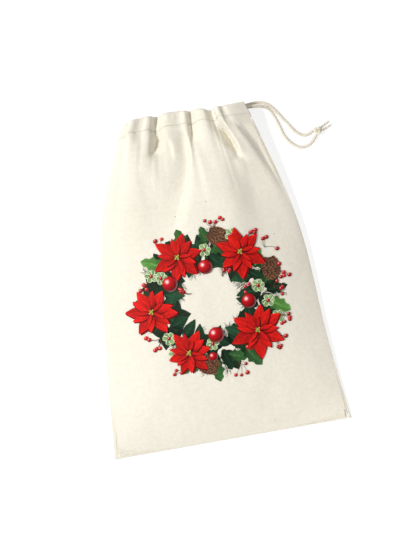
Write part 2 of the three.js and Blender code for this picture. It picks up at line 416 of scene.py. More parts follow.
def print_material():
    """Ink that has sunk into the canvas: the shapes' own colour, broken up by the weave."""
    nodes = Nodes("print_ink")
    place = nodes.node("ShaderNodeAttribute", attribute_name="cloth").outputs["Vector"]
    ink = nodes.node("ShaderNodeAttribute", attribute_name="ink").outputs["Color"]
    weave = weave_height(nodes, place)
    mottled = nodes.noise(place, INK_MOTTLE_SCALE, 3.0, 0.7)
    worn = nodes.ramp(mottled, [(0.30, (0.80, 0.80, 0.80)), (0.70, (1.12, 1.12, 1.12))])
    colour = nodes.mix(1.0, ink, worn, "MULTIPLY")
    rough = nodes.math("ADD", nodes.math("MULTIPLY", mottled, 0.2), 0.55)
    normal = nodes.bump(weave, 0.5, 0.0001)
    return nodes.finish(colour, rough, normal, Specular_IOR_Level=0.12)


def floor_material():
    nodes = Nodes("studio_floor")
    place = nodes.node("ShaderNodeTexCoord").outputs["Object"]
    grain = nodes.noise(place, 40.0, 3.0)
    colour = nodes.ramp(grain, [(0.3, (0.30, 0.30, 0.30)), (0.7, (0.32, 0.32, 0.32))])
    normal = nodes.bump(grain, 0.02, 0.0005)
    rough = nodes.math("ADD", nodes.math("MULTIPLY", grain, 0.1), 0.85)
    return nodes.finish(colour, rough, normal, Specular_IOR_Level=0.1,
                        Emission_Color=(1.0, 1.0, 1.0, 1.0), Emission_Strength=0.74)


def paint(obj, material):
    obj.data.materials.clear()
    obj.data.materials.append(material)
    return obj


make_camera()
make_studio()
floor = make_floor()
paint(floor, floor_material())
CANVAS = canvas_material("natural_canvas", (0.835, 0.792, 0.690), (0.73, 0.680, 0.565))
# The same canvas made darker for the seam allowances inside the pouch: painted shade.
SHADED_SEAM_CANVAS = canvas_material("shaded_seam_canvas", (0.80, 0.755, 0.645), (0.68, 0.625, 0.505))
THREAD = thread_material("sewing_thread", (0.86, 0.82, 0.72), (0.76, 0.71, 0.60), 2500.0)
CORD = thread_material("cotton_cord", (0.80, 0.755, 0.65), (0.60, 0.53, 0.40), 1600.0)
INK = print_material()

# ---------------------------------------------------------------- cords

CORD_DIAMETER = 0.0032
ROPE_PITCH = 0.0105
ROPE_STRANDS = 3
# The free runs, knot and tails follow the model's own: x, v and z in millimetres. The front's run
# comes out of the casing 1.9 mm lower than the model's does.
BACK_RUN = [
    (71.3, 339.0, 2.9), (77.9, 339.7, 2.7), (84.0, 339.9, 2.3), (88.6, 339.4, 2.0),
    (93.6, 337.6, 1.9), (99.0, 333.6, 1.9), (104.6, 326.4, 1.9), (108.9, 319.4, 1.9),
    (113.4, 313.0, 1.9), (117.4, 306.6, 1.9), (121.6, 301.6, 1.9), (126.4, 298.4, 2.0),
    (130.8, 297.8, 2.4), (134.6, 299.2, 3.2), (138.2, 301.0, 4.0),
]
FRONT_RUN = [
    (71.3, 335.7, 12.2), (77.0, 335.7, 12.0), (82.0, 335.5, 11.0), (86.5, 335.2, 9.0),
    (91.0, 334.2, 6.2), (95.2, 332.0, 4.1), (98.3, 328.2, 2.8), (101.0, 322.6, 2.0),
    (103.6, 315.5, 1.9), (105.6, 308.2, 1.9), (107.9, 300.8, 1.9), (112.5, 293.6, 1.9),
    (118.2, 288.2, 1.9), (123.2, 286.1, 1.9), (128.6, 286.2, 1.9), (133.4, 288.4, 2.2),
    (137.4, 292.0, 2.9), (140.6, 296.2, 3.8),
]
KNOT_CENTRE = (143.0, 300.3, 4.2)
KNOT_REACH = (3.1, 3.0, 2.3)
UPPER_TAIL = [(145.6, 302.2, 4.0), (147.0, 303.1, 3.6), (150.8, 305.2, 2.3), (155.0, 307.2, 1.5)]
LOWER_TAIL = [(145.8, 299.6, 3.9), (147.9, 299.9, 3.6), (151.8, 301.3, 2.2), (156.0, 303.2, 1.5)]
TAIL_RADIUS = 0.0013
TAIL_PITCH = 0.007
KNOT_STRAND_RADIUS = 0.00158
KNOT_PITCH = 0.008
ROUTE_STEP = 0.0005
TAIL_STEP = 0.0004
FRAY_FIBRES = 9
FIBRE_RADIUS = 0.00016
FIBRE_FLOOR = 0.0004  # no fibre goes below this


def placed(route):
    """Route points in metres, with v turned into y."""
    return np.array([(x * MM, v * MM - HALF_HEIGHT, z * MM) for x, v, z in route])


def rope_shape(line, radius, pitch=ROPE_PITCH, strands=ROPE_STRANDS, end_radius=None):
    """The points and faces of a twisted cord along a line whose points are evenly spaced."""
    step = float(np.linalg.norm(line[1] - line[0]))
    count = len(line)
    end = radius if end_radius is None else end_radius

    def ring(i, angles):
        turn = 2 * np.pi * i * step / pitch
        lobes = np.abs(np.cos(strands * (angles - turn) / 2))
        share = i / (count - 1)
        return (radius + (end - radius) * share) * (0.80 + 0.26 * lobes ** 0.8)

    return tube(line, ring)


def rope(name, line):
    """A stretch of the drawcord."""
    return paint(mesh_object(name, *rope_shape(line, CORD_DIAMETER / 2)), CORD)


def make_knot():
    """A closed threefold strand round the knot's centre, like an overhand knot pulled tight."""
    turns = np.linspace(0, 2 * np.pi, 240, endpoint=False)
    x = np.sin(turns) + 2 * np.sin(2 * turns)
    y = np.cos(turns) - 2 * np.cos(2 * turns)
    z = -np.sin(3 * turns)
    centre = placed([KNOT_CENTRE])[0]
    shape = np.stack([x / 3 * KNOT_REACH[0], y / 3 * KNOT_REACH[1], z * KNOT_REACH[2]], 1)
    line = centre + shape * MM
    length = np.linalg.norm(np.diff(line, axis=0, append=line[:1]), axis=1)
    run = np.concatenate([[0], np.cumsum(length)[:-1]])
    twists = round(length.sum() / KNOT_PITCH)

    def ring(i, angles):
        turn = 2 * np.pi * twists * run[i] / length.sum()
        lobes = np.abs(np.cos(ROPE_STRANDS * (angles - turn) / 2))
        return KNOT_STRAND_RADIUS * (0.82 + 0.24 * lobes)

    points, faces = tube(line, ring, closed=True)
    return paint(mesh_object("knot", points, faces), CORD)


def fibre_ring(i, angles):
    """A loose fibre's radii, thinner towards its tip."""
    return np.full(len(angles), FIBRE_RADIUS * (1 - 0.15 * i))


def make_tail(name, route, seed):
    """A cut cord end: the strands thin out and a few loose fibres stand out at the tip."""
    line = even_line(placed(route), TAIL_STEP)
    shapes = [rope_shape(line, TAIL_RADIUS, TAIL_PITCH, 2, TAIL_RADIUS * 0.75)]
    random = np.random.default_rng(seed)
    tip, heading = line[-1], line[-1] - line[-6]
    heading /= np.linalg.norm(heading)
    for _ in range(FRAY_FIBRES):
        spread = random.normal(0, 0.28, 3) * (1, 1, 0.3)
        way = heading + spread
        start = tip - heading * 0.0008 + random.normal(0, 0.0004, 3) * (1, 1, 0.4)
        reach = random.uniform(0.0020, 0.0042)
        curl = random.normal(0, 0.0006, 3) * (1, 1, 0.2)
        fibre = [start + way * reach * t + curl * t * t for t in np.linspace(0, 1, 5)]
        for p in fibre:
            p[2] = max(p[2], FIBRE_FLOOR)
        shapes.append(tube(fibre, fibre_ring))
    return paint(mesh_object(name, *joined(shapes)), CORD)


back_line = even_line(placed(BACK_RUN), ROUTE_STEP)
front_line = even_line(placed(FRONT_RUN), ROUTE_STEP)
back_run = rope("cord_back_run", back_line)
front_run = rope("cord_front_run", front_line)
knot = make_knot()
upper_tail = make_tail("cord_upper_tail", UPPER_TAIL, 3)
lower_tail = make_tail("cord_lower_tail", LOWER_TAIL, 4)

# ---------------------------------------------------------------- the pouch's cloth

LEFT_EDGE = spline([
    (0, -.125), (.106, -.1145), (.206, -.102), (.256, -.091), (.306, -.0712), (.347, -.0525),
])
RIGHT_EDGE = spline([
    (0, .125), (.106, .114), (.206, .1067), (.256, .0965), (.306, .0822), (.347, .0690),
])
SEAM_HEIGHT = spline([(0, .0015), (.04, .003), (.1, .005), (.2, .007), (.327, .009), (.347, .009)])
FIRST_CROWN = spline([
    (0, 0), (.025, .010), (.07, .020), (.14, .027), (.22, .026), (.28, .019), (.327, .013), (.347, .012),
])
FLAT_WIDTH = spline([
    (0, .2505), (.06, .244), (.106, .238), (.156, .232), (.206, .222), (.256, .203), (.286, .187),
    (.306, .174), (.327, .171), (.347, .170),
])
CLOTH_LENGTH = 0.352
CASING_DEPTH = 0.020
COLUMNS, ROWS = 64, 88
CASING_ROW = 83
FRONT_HEM_LENGTH, BACK_HEM_LENGTH = 0.170, 0.138
FOLD_WIDTH = 0.0055
FOLD_LENGTH = 0.010  # the hem's length that goes round the left fold
FIRST_RISE = 0.004  # how soon after the fold the gathers reach their full height
# The gathers along the mouth, as (x, height) stops of valleys and crests.
FRONT_GATHERS = [
    (-.0480, .45), (-.0415, .95), (-.034, .50), (-.0265, 1), (-.0190, 0), (-.007, 1), (.0045, .60),
    (.0095, .85), (.0145, 0.1), (.0250, 1), (.036, 0), (.0415, .95), (.0465, .40), (.0695, .30),
]
BACK_GATHERS = [
    (-.0480, .3), (-.042, 1), (-.034, 0), (-.025, .9), (-.016, .1), (-.007, 1), (.002, 0), (.011, .9),
    (.020, .1), (.029, 1), (.038, 0), (.047, .9), (.055, .2), (.0695, .2),
]
FRONT_HEM_Z = spline([(-.06, .0195), (.030, .0200), (.0465, .0240), (.0700, .0150)])
BACK_HEM_Z = spline([(-.06, .0006), (.075, .0006)])
FOLD_Z = 0.0085
PINCH = 0.50  # below 1 makes the valleys between the gathers narrow and their crests round


def half_wave(width, height):
    """Slope amplitude and arc length of half a sine-generated wave of that width and height."""
    slopes = np.linspace(0, 2.3, 231)
    t = (np.arange(64) + 0.5) * np.pi / 64
    cosine = np.array([np.cos(a * np.sin(t)).mean() for a in slopes])
    sine = np.array([np.sin(a * np.sin(t)).mean() for a in slopes])
    usable = cosine > 0.02
    slope = np.interp(abs(height) / width, (sine / cosine)[usable], slopes[usable])
    return slope, width / np.interp(slope, slopes, cosine)


def wavy_line(stops, length):
    """Points (x, height) along a wavy line through the stops that is as long as length."""
    xs, heights = np.array(stops).T
    widths, rises = np.diff(xs), np.diff(heights)
    low, high = 0.0, 0.06
    for _ in range(26):
        scale = (low + high) / 2
        total = sum(half_wave(w, h * scale)[1] for w, h in zip(widths, rises))
        low, high = (low, scale) if total > length else (scale, high)
    points = [(xs[0], heights[0] * scale)]
    for width, rise in zip(widths, rises):
        slope, arc = half_wave(width, rise * scale)
        middle = (np.arange(40) + 0.5) / 40
        heading = np.sign(rise) * slope * np.sin(np.pi * middle)
        x = points[-1][0] + np.cumsum(np.cos(heading)) * arc / 40
        z = points[-1][1] + np.cumsum(np.sin(heading)) * arc / 40
        points += list(zip(x, z))
    return np.array(points)


def hem_line(stops, base, length):
    """The hem seen from the mouth: COLUMNS + 1 points (x, z, gather height), left to right."""
    wave = wavy_line(stops, length - FOLD_LENGTH)
    lift = smoothstep(wave[:, 0], stops[0][0], stops[0][0] + FIRST_RISE)
    tallest = wave[:, 1].max()
    wave[:, 1] = tallest * np.clip(wave[:, 1] / tallest, 0, 1) ** PINCH
    z = base(wave[:, 0]) + wave[:, 1] * lift
    turn = np.linspace(0, np.pi / 2, 16)[:-1]
    first_x, first_z = wave[0, 0], z[0]
    arc_x = first_x - FOLD_WIDTH * np.cos(turn)
    arc_z = FOLD_Z + (first_z - FOLD_Z) * np.sin(turn)
    x = np.concatenate([arc_x, wave[:, 0]])
    z = np.concatenate([arc_z, z])
    height = np.concatenate([np.zeros(len(turn)), wave[:, 1] * lift])
    run = np.concatenate([[0], np.cumsum(np.hypot(np.diff(x), np.diff(z)))])
    at = np.linspace(0, run[-1], COLUMNS + 1)
    return np.stack([np.interp(at, run, q) for q in (x, z, height)], 1)


front_hem = hem_line(FRONT_GATHERS, FRONT_HEM_Z, FRONT_HEM_LENGTH)
back_hem = hem_line(BACK_GATHERS, BACK_HEM_Z, BACK_HEM_LENGTH)
HEM_PULL, HEM_RISE = 0.030, 0.050  # how far below the hem the cloth still feels its gathers and height
GATHER_LEAN = 0.3
BACK_LIFT = 0.0005


def v_of(b):
    """Distance from the bottom seam of the cloth that lies b up the flat panel."""
    casing = CLOTH_LENGTH - CASING_DEPTH
    b = np.asarray(b, float)
    return np.where(b < casing, b * (HEIGHT - CASING_DEPTH) / casing, b - CLOTH_LENGTH + HEIGHT)


def hem_x(x, v):
    """Where a point of the hem's upper edge lies further down, where the pouch is wider."""
    top_left, top_right = float(LEFT_EDGE(HEIGHT)), float(RIGHT_EDGE(HEIGHT))
    share = (np.asarray(x) - top_left) / (top_right - top_left)
    return LEFT_EDGE(v) + share * (RIGHT_EDGE(v) - LEFT_EDGE(v))


def first_shape(front):
    """The panel before the simulation, as a grid of points."""
    hem = front_hem if front else back_hem
    across = np.linspace(-1, 1, COLUMNS + 1)
    grid = np.zeros((ROWS + 1, COLUMNS + 1, 3))
    for j in range(ROWS + 1):
        b = CLOTH_LENGTH * j / ROWS
        v = float(v_of(b))
        below = max(0.0, CLOTH_LENGTH - CASING_DEPTH - b)
        left, right = float(LEFT_EDGE(v)), float(RIGHT_EDGE(v))
        place = (hem[:, 0] - hem[0, 0]) / (hem[-1, 0] - hem[0, 0]) * 2 - 1
        near = math.exp(-below / HEM_PULL)
        rise = math.exp(-below / HEM_RISE)
        s = across * (1 - near) + place * near
        x = left + (right - left) * (s + 1) / 2
        seam = float(SEAM_HEIGHT(v))
        if front:
            dome = seam + np.abs(np.cos(s * np.pi / 2)) ** 0.8 * float(FIRST_CROWN(v))
            z = dome * (1 - rise) + hem[:, 1] * rise
            y = v - HALF_HEIGHT + rise * GATHER_LEAN * hem[:, 2]
        else:
            flat = BACK_LIFT + (seam - BACK_LIFT) * np.abs(s) ** 8
            z = flat * (1 - rise) + hem[:, 1] * rise
            y = np.full_like(x, v - HALF_HEIGHT)
        if below == 0:
            x = hem_x(hem[:, 0], v)
            z = hem[:, 1]
        grid[j] = np.stack([x, y, z], 1)
    return grid


def cloth_mesh(front, back):
    """One closed mesh of both panels. Returns points, faces and each panel's vertex numbers."""
    number_front = np.arange(front[..., 0].size).reshape(ROWS + 1, COLUMNS + 1)
    shared = np.zeros_like(number_front, bool)
    shared[0], shared[:, 0], shared[:CASING_ROW, COLUMNS] = True, True, True
    number_back = np.where(shared, number_front, -1)
    number_back[~shared] = number_front.size + np.arange((~shared).sum())
    points = np.zeros((number_front.size + (~shared).sum(), 3))
    points[number_back] = back
    points[number_front] = front
    faces = []
    for j in range(ROWS):
        for i in range(COLUMNS):
            for number, flip in ((number_front, 1), (number_back, -1)):
                quad = [number[j, i], number[j, i + 1], number[j + 1, i + 1], number[j + 1, i]]
                faces.append(quad[::flip])
    return points, faces, number_front, number_back


def flat_shape(count, number_front, number_back):
    """Both panels as they were cut, laid flat: the simulation's resting lengths."""
    rest = np.zeros((count, 3))
    across = np.linspace(-0.5, 0.5, COLUMNS + 1)
    for j in range(ROWS + 1):
        b = CLOTH_LENGTH * j / ROWS
        for row in (number_front[j], number_back[j]):
            rest[row, 0] = across * float(FLAT_WIDTH(v_of(b)))
            rest[row, 1] = b
    return rest


SIM_FRAMES = 40
SEAM_PIN = 0.6
CLOTH_SETTINGS = {
    "quality": 8, "mass": 0.3, "air_damping": 2.0,
    "tension_stiffness": 40.0, "compression_stiffness": 40.0,
    "shear_stiffness": 15.0, "bending_stiffness": 32.0,
    "tension_damping": 10.0, "compression_damping": 10.0, "shear_damping": 10.0, "bending_damping": 1.0,
    "vertex_group_mass": "pin", "pin_stiffness": 5.0,
    "use_pressure": True, "uniform_pressure_force": 300.0,
}


def simulate(front, back):
    """Puffs the front panel up over the pinned hem and the back, under its own weight."""
    points, faces, number_front, number_back = cloth_mesh(front, back)
    obj = mesh_object("cloth_simulation", points, faces)
    obj.shape_key_add(name="Basis")
    rest = obj.shape_key_add(name="flat")
    flat = flat_shape(len(points), number_front, number_back)
    rest.data.foreach_set("co", flat.ravel().astype(np.float32))
    rest.value = 0.0
    weights = np.zeros(len(points))
    weights[number_back] = 1.0
    weights[number_front[:, [0, COLUMNS]]] = SEAM_PIN
    weights[number_front[0]] = SEAM_PIN
    weights[number_front[CASING_ROW:]] = 1.0
    pin = obj.vertex_groups.new(name="pin")
    for i in np.flatnonzero(weights):
        pin.add([int(i)], float(weights[i]), "REPLACE")
    cloth = obj.modifiers.new("cloth", "CLOTH")
    for key, value in CLOTH_SETTINGS.items():
        setattr(cloth.settings, key, value)
    cloth.settings.rest_shape_key = rest
    cloth.collision_settings.use_self_collision = False
    cloth.collision_settings.use_collision = False
    cloth.point_cache.frame_start, cloth.point_cache.frame_end = 1, SIM_FRAMES
    scene = bpy.context.scene
    scene.frame_start, scene.frame_end = 1, SIM_FRAMES
    for step in range(1, SIM_FRAMES + 1):
        scene.frame_set(step)
    evaluated = obj.evaluated_get(bpy.context.evaluated_depsgraph_get())
    moved = np.empty(len(points) * 3)
    evaluated.data.vertices.foreach_get("co", moved)
    moved = moved.reshape(-1, 3)
    bpy.data.objects.remove(obj)
    scene.frame_set(1)
    return moved[number_front], moved[number_back]


front_sheet, back_sheet = first_shape(True), first_shape(False)
front_sheet, back_sheet = simulate(front_sheet, back_sheet)

# ---------------------------------------------------------------- folds of the panels

FINE = 0.34  # a fine row or column for every 0.34 of a simulated one
UNEVEN = ((0.030, 0.0007, 0), (0.011, 0.00022, 5))  # size, height and seed of the cloth's unevenness
HEM_HOLD = 0.70  # how much of a fold is held back where the casing starts
HOLD_FROM, HOLD_TO = 0.313, 0.327
fine_columns = np.linspace(0, COLUMNS, int(COLUMNS / FINE) + 1)
panel_rows = np.linspace(0, CASING_ROW, int(round(CASING_ROW / FINE)) + 1)


def cloth_places(rows, columns, offset):
    """Each grid point's place on the flat cloth, for the weave. offset keeps panels apart."""
    b = rows / ROWS * CLOTH_LENGTH
    width = FLAT_WIDTH(v_of(b))
    x = (columns / COLUMNS - 0.5)[None, :] * width[:, None] + offset
    y = np.repeat(b[:, None], len(columns), 1)
    return np.stack([x, y, np.zeros_like(x)], -1)


# Most folds run down from the hem, and the last two lie near the bottom seam. Each stop has v and x
# of the fold's line, how far the cloth moves up there, and how far the fold reaches to its left and
# to its right, in millimetres.
FRONT_FOLDS = [
    [(342, -17.5, -3.0, 2, 1.5), (334, -18.0, -5.0, 2.4, 1.6), (324, -19.5, -7.0, 3.2, 2.0),
     (314, -24.0, -7.0, 4.2, 3.0), (307, -28.0, -3.6, 4.4, 3.0), (300, -32.0, 0, 7, 4)],
    [(306, -26, 0, 6, 6), (298, -28, 2.5, 6, 6), (285, -30, 2.6, 7, 7), (270, -31, 1.5, 8, 8),
     (250, -31, 0, 8, 8)],
    [(322, -16, 0, 4, 3), (314, -12.5, -2.2, 8, 2.0), (305, -11, -3.4, 10, 2.0),
     (297, -11.5, -1.4, 11, 2.6), (290, -12, 0, 12, 5)],
    [(338, 3.0, -1.0, 3, 2), (328, 4.6, -3.0, 6, 1.6), (316, 5.8, -5.5, 10, 1.8),
     (300, 5.4, -7.5, 13, 2.0), (283, 2.0, -8.5, 17, 2.6), (266, -3.5, -8.6, 21, 4.0),
     (250, -11.5, -7.0, 24, 6), (232, -20, -4.0, 25, 9), (205, -30, 0, 24, 14)],
    [(310, 32, 0, 28, 18), (285, 36, 2.6, 30, 18), (250, 40, 4.2, 34, 20), (215, 42, 3.4, 36, 22),
     (170, 44, 1.5, 36, 24), (130, 45, 0, 36, 24)],
    [(341, 15.6, -4.0, 2, 1.3), (331, 15.0, -6.5, 3.6, 1.4), (322, 14.2, -7.0, 5.0, 1.5),
     (314, 13.4, -3.0, 5.0, 1.8), (306, 12, 0, 5, 4)],
    [(316, 14, 0, 5, 5), (306, 15.5, 2.6, 6, 6), (291, 17, 3.6, 7, 7), (272, 18.5, 2.6, 8, 8),
     (255, 20, 1.2, 9, 9), (240, 20, 0, 9, 9)],
    [(341, 36.6, -5.0, 2, 1.4), (332, 40.4, -12.0, 3.0, 1.6), (322, 44.6, -16.0, 4.4, 1.8),
     (311, 49.4, -16.0, 5.2, 2.0), (300, 53.2, -13.5, 5.0, 2.0), (291, 56.0, -7.0, 4.2, 2.2),
     (284, 57.5, -1.0, 6, 6), (262, 60, 0, 10, 9)],
    [(326, 36.5, 0, 3, 3), (316, 38.5, 1.8, 3.2, 3.0), (303, 41.5, 3.0, 4.5, 3.5),
     (288, 44, 3.0, 6, 5), (270, 46, 1.5, 7, 6), (254, 47, 0, 7, 7)],
    [(338, 43.5, 0.4, 2.4, 2.4), (322, 50.0, 1.4, 2.4, 3.2), (308, 55.0, 2.2, 2.6, 3.4),
     (295, 59.6, 1.6, 3.0, 4.0), (286, 61, 0, 4, 6)],
    [(341, 46.5, -2.6, 1.6, 1.6), (333, 50.0, -4.0, 2.0, 2.6), (324, 54.5, -2.4, 2.6, 4),
     (313, 59, 0, 4, 6)],
    [(330, 54, 0, 4, 3), (321, 57.5, 1.2, 4, 2.2), (304, 66.5, 1.6, 6, 2.4),
     (285, 76.0, 1.6, 7, 2.8), (266, 85.0, 1.6, 8, 3.0), (240, 95.0, 1.2, 9, 3.6),
     (215, 101.0, 0.6, 10, 5), (195, 104, 0, 20, 6)],
    [(332, 62, 0, 3, 14), (318, 68, -3.4, 5, 15), (297, 78.5, -4.6, 5.5, 15),
     (272, 90.0, -4.0, 6, 12), (240, 101.0, -2.0, 6, 9), (212, 106, 0, 6, 8)],
    [(342, -35.5, -2.0, 1.8, 1.5), (330, -36.8, -2.4, 2.2, 2.0), (318, -39.5, -1.0, 5, 4),
     (300, -46.0, -1.0, 12, 6), (275, -46, -3.0, 16, 11), (248, -43, -2.2, 17, 14),
     (205, -40, 0, 18, 16)],
    [(327, -41, 0.8, 4, 4), (318, -43, 2.6, 5, 5), (305, -46.5, 3.0, 6, 6), (290, -50, 2.6, 7, 7),
     (270, -52, 1.4, 8, 8), (252, -52, 0, 8, 8)],
    [(296, 60, 0, 8, 30), (270, 63, -3.6, 12, 34), (240, 66, -4.2, 14, 34), (210, 69, -2.4, 16, 34),
     (170, 72, 0, 17, 34)],
    [(335, -52, -0.6, 3, 2.4), (322, -56.5, -1.2, 4, 3), (300, -65.5, -1.0, 6.5, 4.4),
     (262, -76, -1.0, 9, 7), (225, -84, 0, 10, 8)],
    [(100, -60, 0, 30, 25), (60, -70, 1.2, 34, 25), (20, -78, 0, 34, 25)],
    [(120, 40, 0, 30, 25), (70, 48, -1.0, 34, 22), (20, 56, 0, 30, 25)],
]
FOLD_SHARPNESS = 1.7
FOLD_FLOOR = 0.0112  # no fold goes below this, so that the whole fold lifts with the front


def fold_field(points, folds):
    """How far each point moves up because of the folds."""
    x, v = points[..., 0] / MM, (points[..., 1] + HALF_HEIGHT) / MM
    moved = np.zeros_like(x)
    for stops in folds:
        at = np.array(stops)[::-1]
        line, depth, left, right = (cubic_stops(v, at[:, 0], at[:, k]) for k in (1, 2, 3, 4))
        off = x - line
        reach = np.where(off < 0, left, right)
        moved += depth * np.exp(-np.abs(off / reach) ** FOLD_SHARPNESS)
    return moved * MM


def cubic_stops(v, stops, values):
    """Values between stops, eased at each stop so that the line has no corners."""
    step = np.interp(v, stops, np.arange(len(stops)))
    low = np.clip(np.floor(step).astype(int), 0, len(stops) - 2)
    t = step - low
    slopes = np.gradient(values, stops) * np.gradient(stops)
    a, b = values[low], values[low + 1]
    return ((2 * t ** 3 - 3 * t ** 2 + 1) * a + (t ** 3 - 2 * t ** 2 + t) * slopes[low]
            + (3 * t ** 2 - 2 * t ** 3) * b + (t ** 3 - t ** 2) * slopes[low + 1])


def wrinkle(points, size, amount, seed):
    """Smooth unevenness of the given size and height, one value for each point of a grid."""
    flat = points.reshape(-1, 3) * (1, 1, 0.3)
    return noise_at(flat, size, seed).reshape(points.shape[:2]) * amount


def fold_panel(grid, folds, seed):
    """Sculpts the folds and the small unevenness of pressed cotton into a fine grid."""
    v = grid[..., 1] + HALF_HEIGHT
    hold = smoothstep(v, 0, 0.02) * (1 - HEM_HOLD * smoothstep(v, HOLD_FROM, HOLD_TO))
    columns = np.linspace(-1, 1, grid.shape[1])[None, :]
    hold = hold * (1 - np.abs(columns) ** 12)
    uneven = sum(wrinkle(grid, size, height, seed + more) for size, height, more in UNEVEN)
    lifted = (fold_field(grid, folds) * hold)[..., None] * (0, 0, 1)
    made = grid + lifted + grid_normals(grid) * (uneven * hold)[..., None]
    high = grid[..., 2] > FOLD_FLOOR + 0.001
    made[..., 2] = np.where(high, np.maximum(made[..., 2], FOLD_FLOOR), made[..., 2])
    return made


front_grid = fold_panel(resample(front_sheet, panel_rows, fine_columns), FRONT_FOLDS, 1.0)
back_grid = resample(back_sheet, panel_rows, fine_columns)


def panel(name, grid, flip, offset):
    """A fine grid as a piece of canvas. offset is where its weave starts."""
    points = grid.reshape(-1, 3)
    faces = grid_faces(*grid.shape[:2], flip=flip)
    cloth = cloth_places(panel_rows, fine_columns, offset).reshape(-1, 3)
    return paint(thicken(mesh_object(name, points, faces, cloth), CANVAS_THICKNESS), CANVAS)


BACK_OFFSET = 0.5  # how far the back's cloth lies from the front's in the weave's plane
front_panel = panel("front_canvas", front_grid, False, 0.0)
back_panel = panel("back_canvas", back_grid, True, BACK_OFFSET)

# ---------------------------------------------------------------- the casing

TOP_CURL = 0.0030
SCALLOP = 0.0026
# How far the mouth's edge lies towards the bottom seam from the model's, along the mouth.
TOP_FALL = spline([
    (-.055, .0040), (-.03, .0030), (-.006, .0026), (.021, .0044), (.040, .0058), (.055, .0056),
    (.0705, .0046),
])
BUMP_REACH = 0.0040
LEAN_ROWS = 2
LEAN_REACH = 0.0060
TAB_X = (0.0440, 0.0485)  # where the gathers end and the flat tab begins
FOLD_COLUMNS = 15
INNER_FOLD_REACH = 0.0024
INNER_FOLD_Z = 0.0082
TOP_RIPPLE = 0.0009
BELLY = 0.0002
SEWN_GAP = 0.0011  # between the casing's layers where they are sewn together
CREASE_SIZE, CREASE_DEPTH = 0.0030, 0.0006
HEM_FLOOR = 0.0004
EVEN_FIVE = np.ones(5) / 5


def smoothed(values):
    """Each value's mean with its two neighbours on both sides."""
    return np.convolve(np.pad(values, 2, "edge"), EVEN_FIVE, "valid")


Y_TOP, TAB = 5, 7  # where hem_side's rows hold these two


def hem_side(grid, hem, inner_z_of):
    """One side's hem at every fine column: outer and inner (x, z), lower and upper y, how far it
    is sewn sideways, the tab's share and the lean of the cloth below it."""
    line = cubic_line(hem, fine_columns)
    base = grid[-1]
    height = np.clip(line[:, 2] / hem[:, 2].max(), 0, 1)
    tab = smoothstep(line[:, 0], *TAB_X)
    apart = line[:, :1] - line[None, :, 0]
    near = np.exp(-(apart / BUMP_REACH) ** 2) * np.abs(np.gradient(line[:, 0]))
    bump = smoothstep(near @ height / near.sum(1), 0.25, 0.85)
    climb = grid[-1] - grid[-LEAN_ROWS]
    lean = np.clip(smoothed(climb[:, 2] / climb[:, 1]), -0.5, 0.5)
    ripple = noise_at(np.stack([fine_columns * 0.0032, base[:, 2], base[:, 1]], 1), 0.0042, 7.0)
    y_top = HEIGHT - HALF_HEIGHT - TOP_FALL(line[:, 0]) - SCALLOP * (1 - np.maximum(bump, tab))
    y_top = y_top + TOP_RIPPLE * ripple * (1 - tab)
    inner_x, inner_z = line[:, 0].copy(), inner_z_of(line[:, 0], height)
    turn = np.linspace(0, np.pi / 2, FOLD_COLUMNS + 1)
    end_x, end_z = inner_x[FOLD_COLUMNS], inner_z[FOLD_COLUMNS]
    inner_x[:FOLD_COLUMNS + 1] = end_x - INNER_FOLD_REACH * np.cos(turn)
    inner_z[:FOLD_COLUMNS + 1] = INNER_FOLD_Z + (end_z - INNER_FOLD_Z) * np.sin(turn)
    sewn_x = base[:, 0] - hem_x(line[:, 0], base[:, 1] + HALF_HEIGHT)
    return np.stack([line[:, 0], base[:, 2], inner_x, inner_z, base[:, 1], y_top, sewn_x, tab, lean], 1)


def hem_loop(column):
    """Up the outer layer, over the top and down the inner layer, at one column."""
    x, z, inner_x, inner_z, y_low, y_top, sewn_x, _, lean = column
    rise = np.linspace(0, 1, 10)
    up = y_low + (y_top - TOP_CURL - y_low) * rise
    along = lean * LEAN_REACH * (1 - np.exp((y_low - up) / LEAN_REACH))
    belly = BELLY * (1 - np.cos(2 * np.pi * rise)) * np.sign(z - inner_z)
    sideways = hem_x(x, up + HALF_HEIGHT) + sewn_x * (1 - rise) ** 2
    outer = np.stack([sideways, up, z + along + belly], 1)
    turn = np.linspace(0, np.pi, 11)[1:-1]
    share = (1 - np.cos(turn)) / 2
    curl = y_top - TOP_CURL + TOP_CURL * np.sin(turn)
    over = np.stack([
        outer[-1, 0] + (hem_x(inner_x, HEIGHT) - outer[-1, 0]) * share,
        curl,
        outer[-1, 2] + (inner_z - outer[-1, 2]) * share,
    ], 1)
    away = np.array([inner_x - x, inner_z - z])
    sewn = np.array([x, z]) + away / np.linalg.norm(away) * SEWN_GAP
    settle = smoothstep(rise[::-1], 0, 0.35)[:, None]
    down = sewn + (np.array([inner_x, inner_z]) - sewn) * settle
    inner = np.stack([hem_x(down[:, 0], up[::-1] + HALF_HEIGHT), up[::-1], down[:, 1]], 1)
    return np.concatenate([outer, over, inner])


def front_inner_z(x, height):
    return 0.0102 - 0.0012 * height * smoothstep(x, -0.050, -0.044)


def back_inner_z(x, height):
    return 0.0058 + 0.0014 * height * (1 - smoothstep(x, 0.045, 0.055))


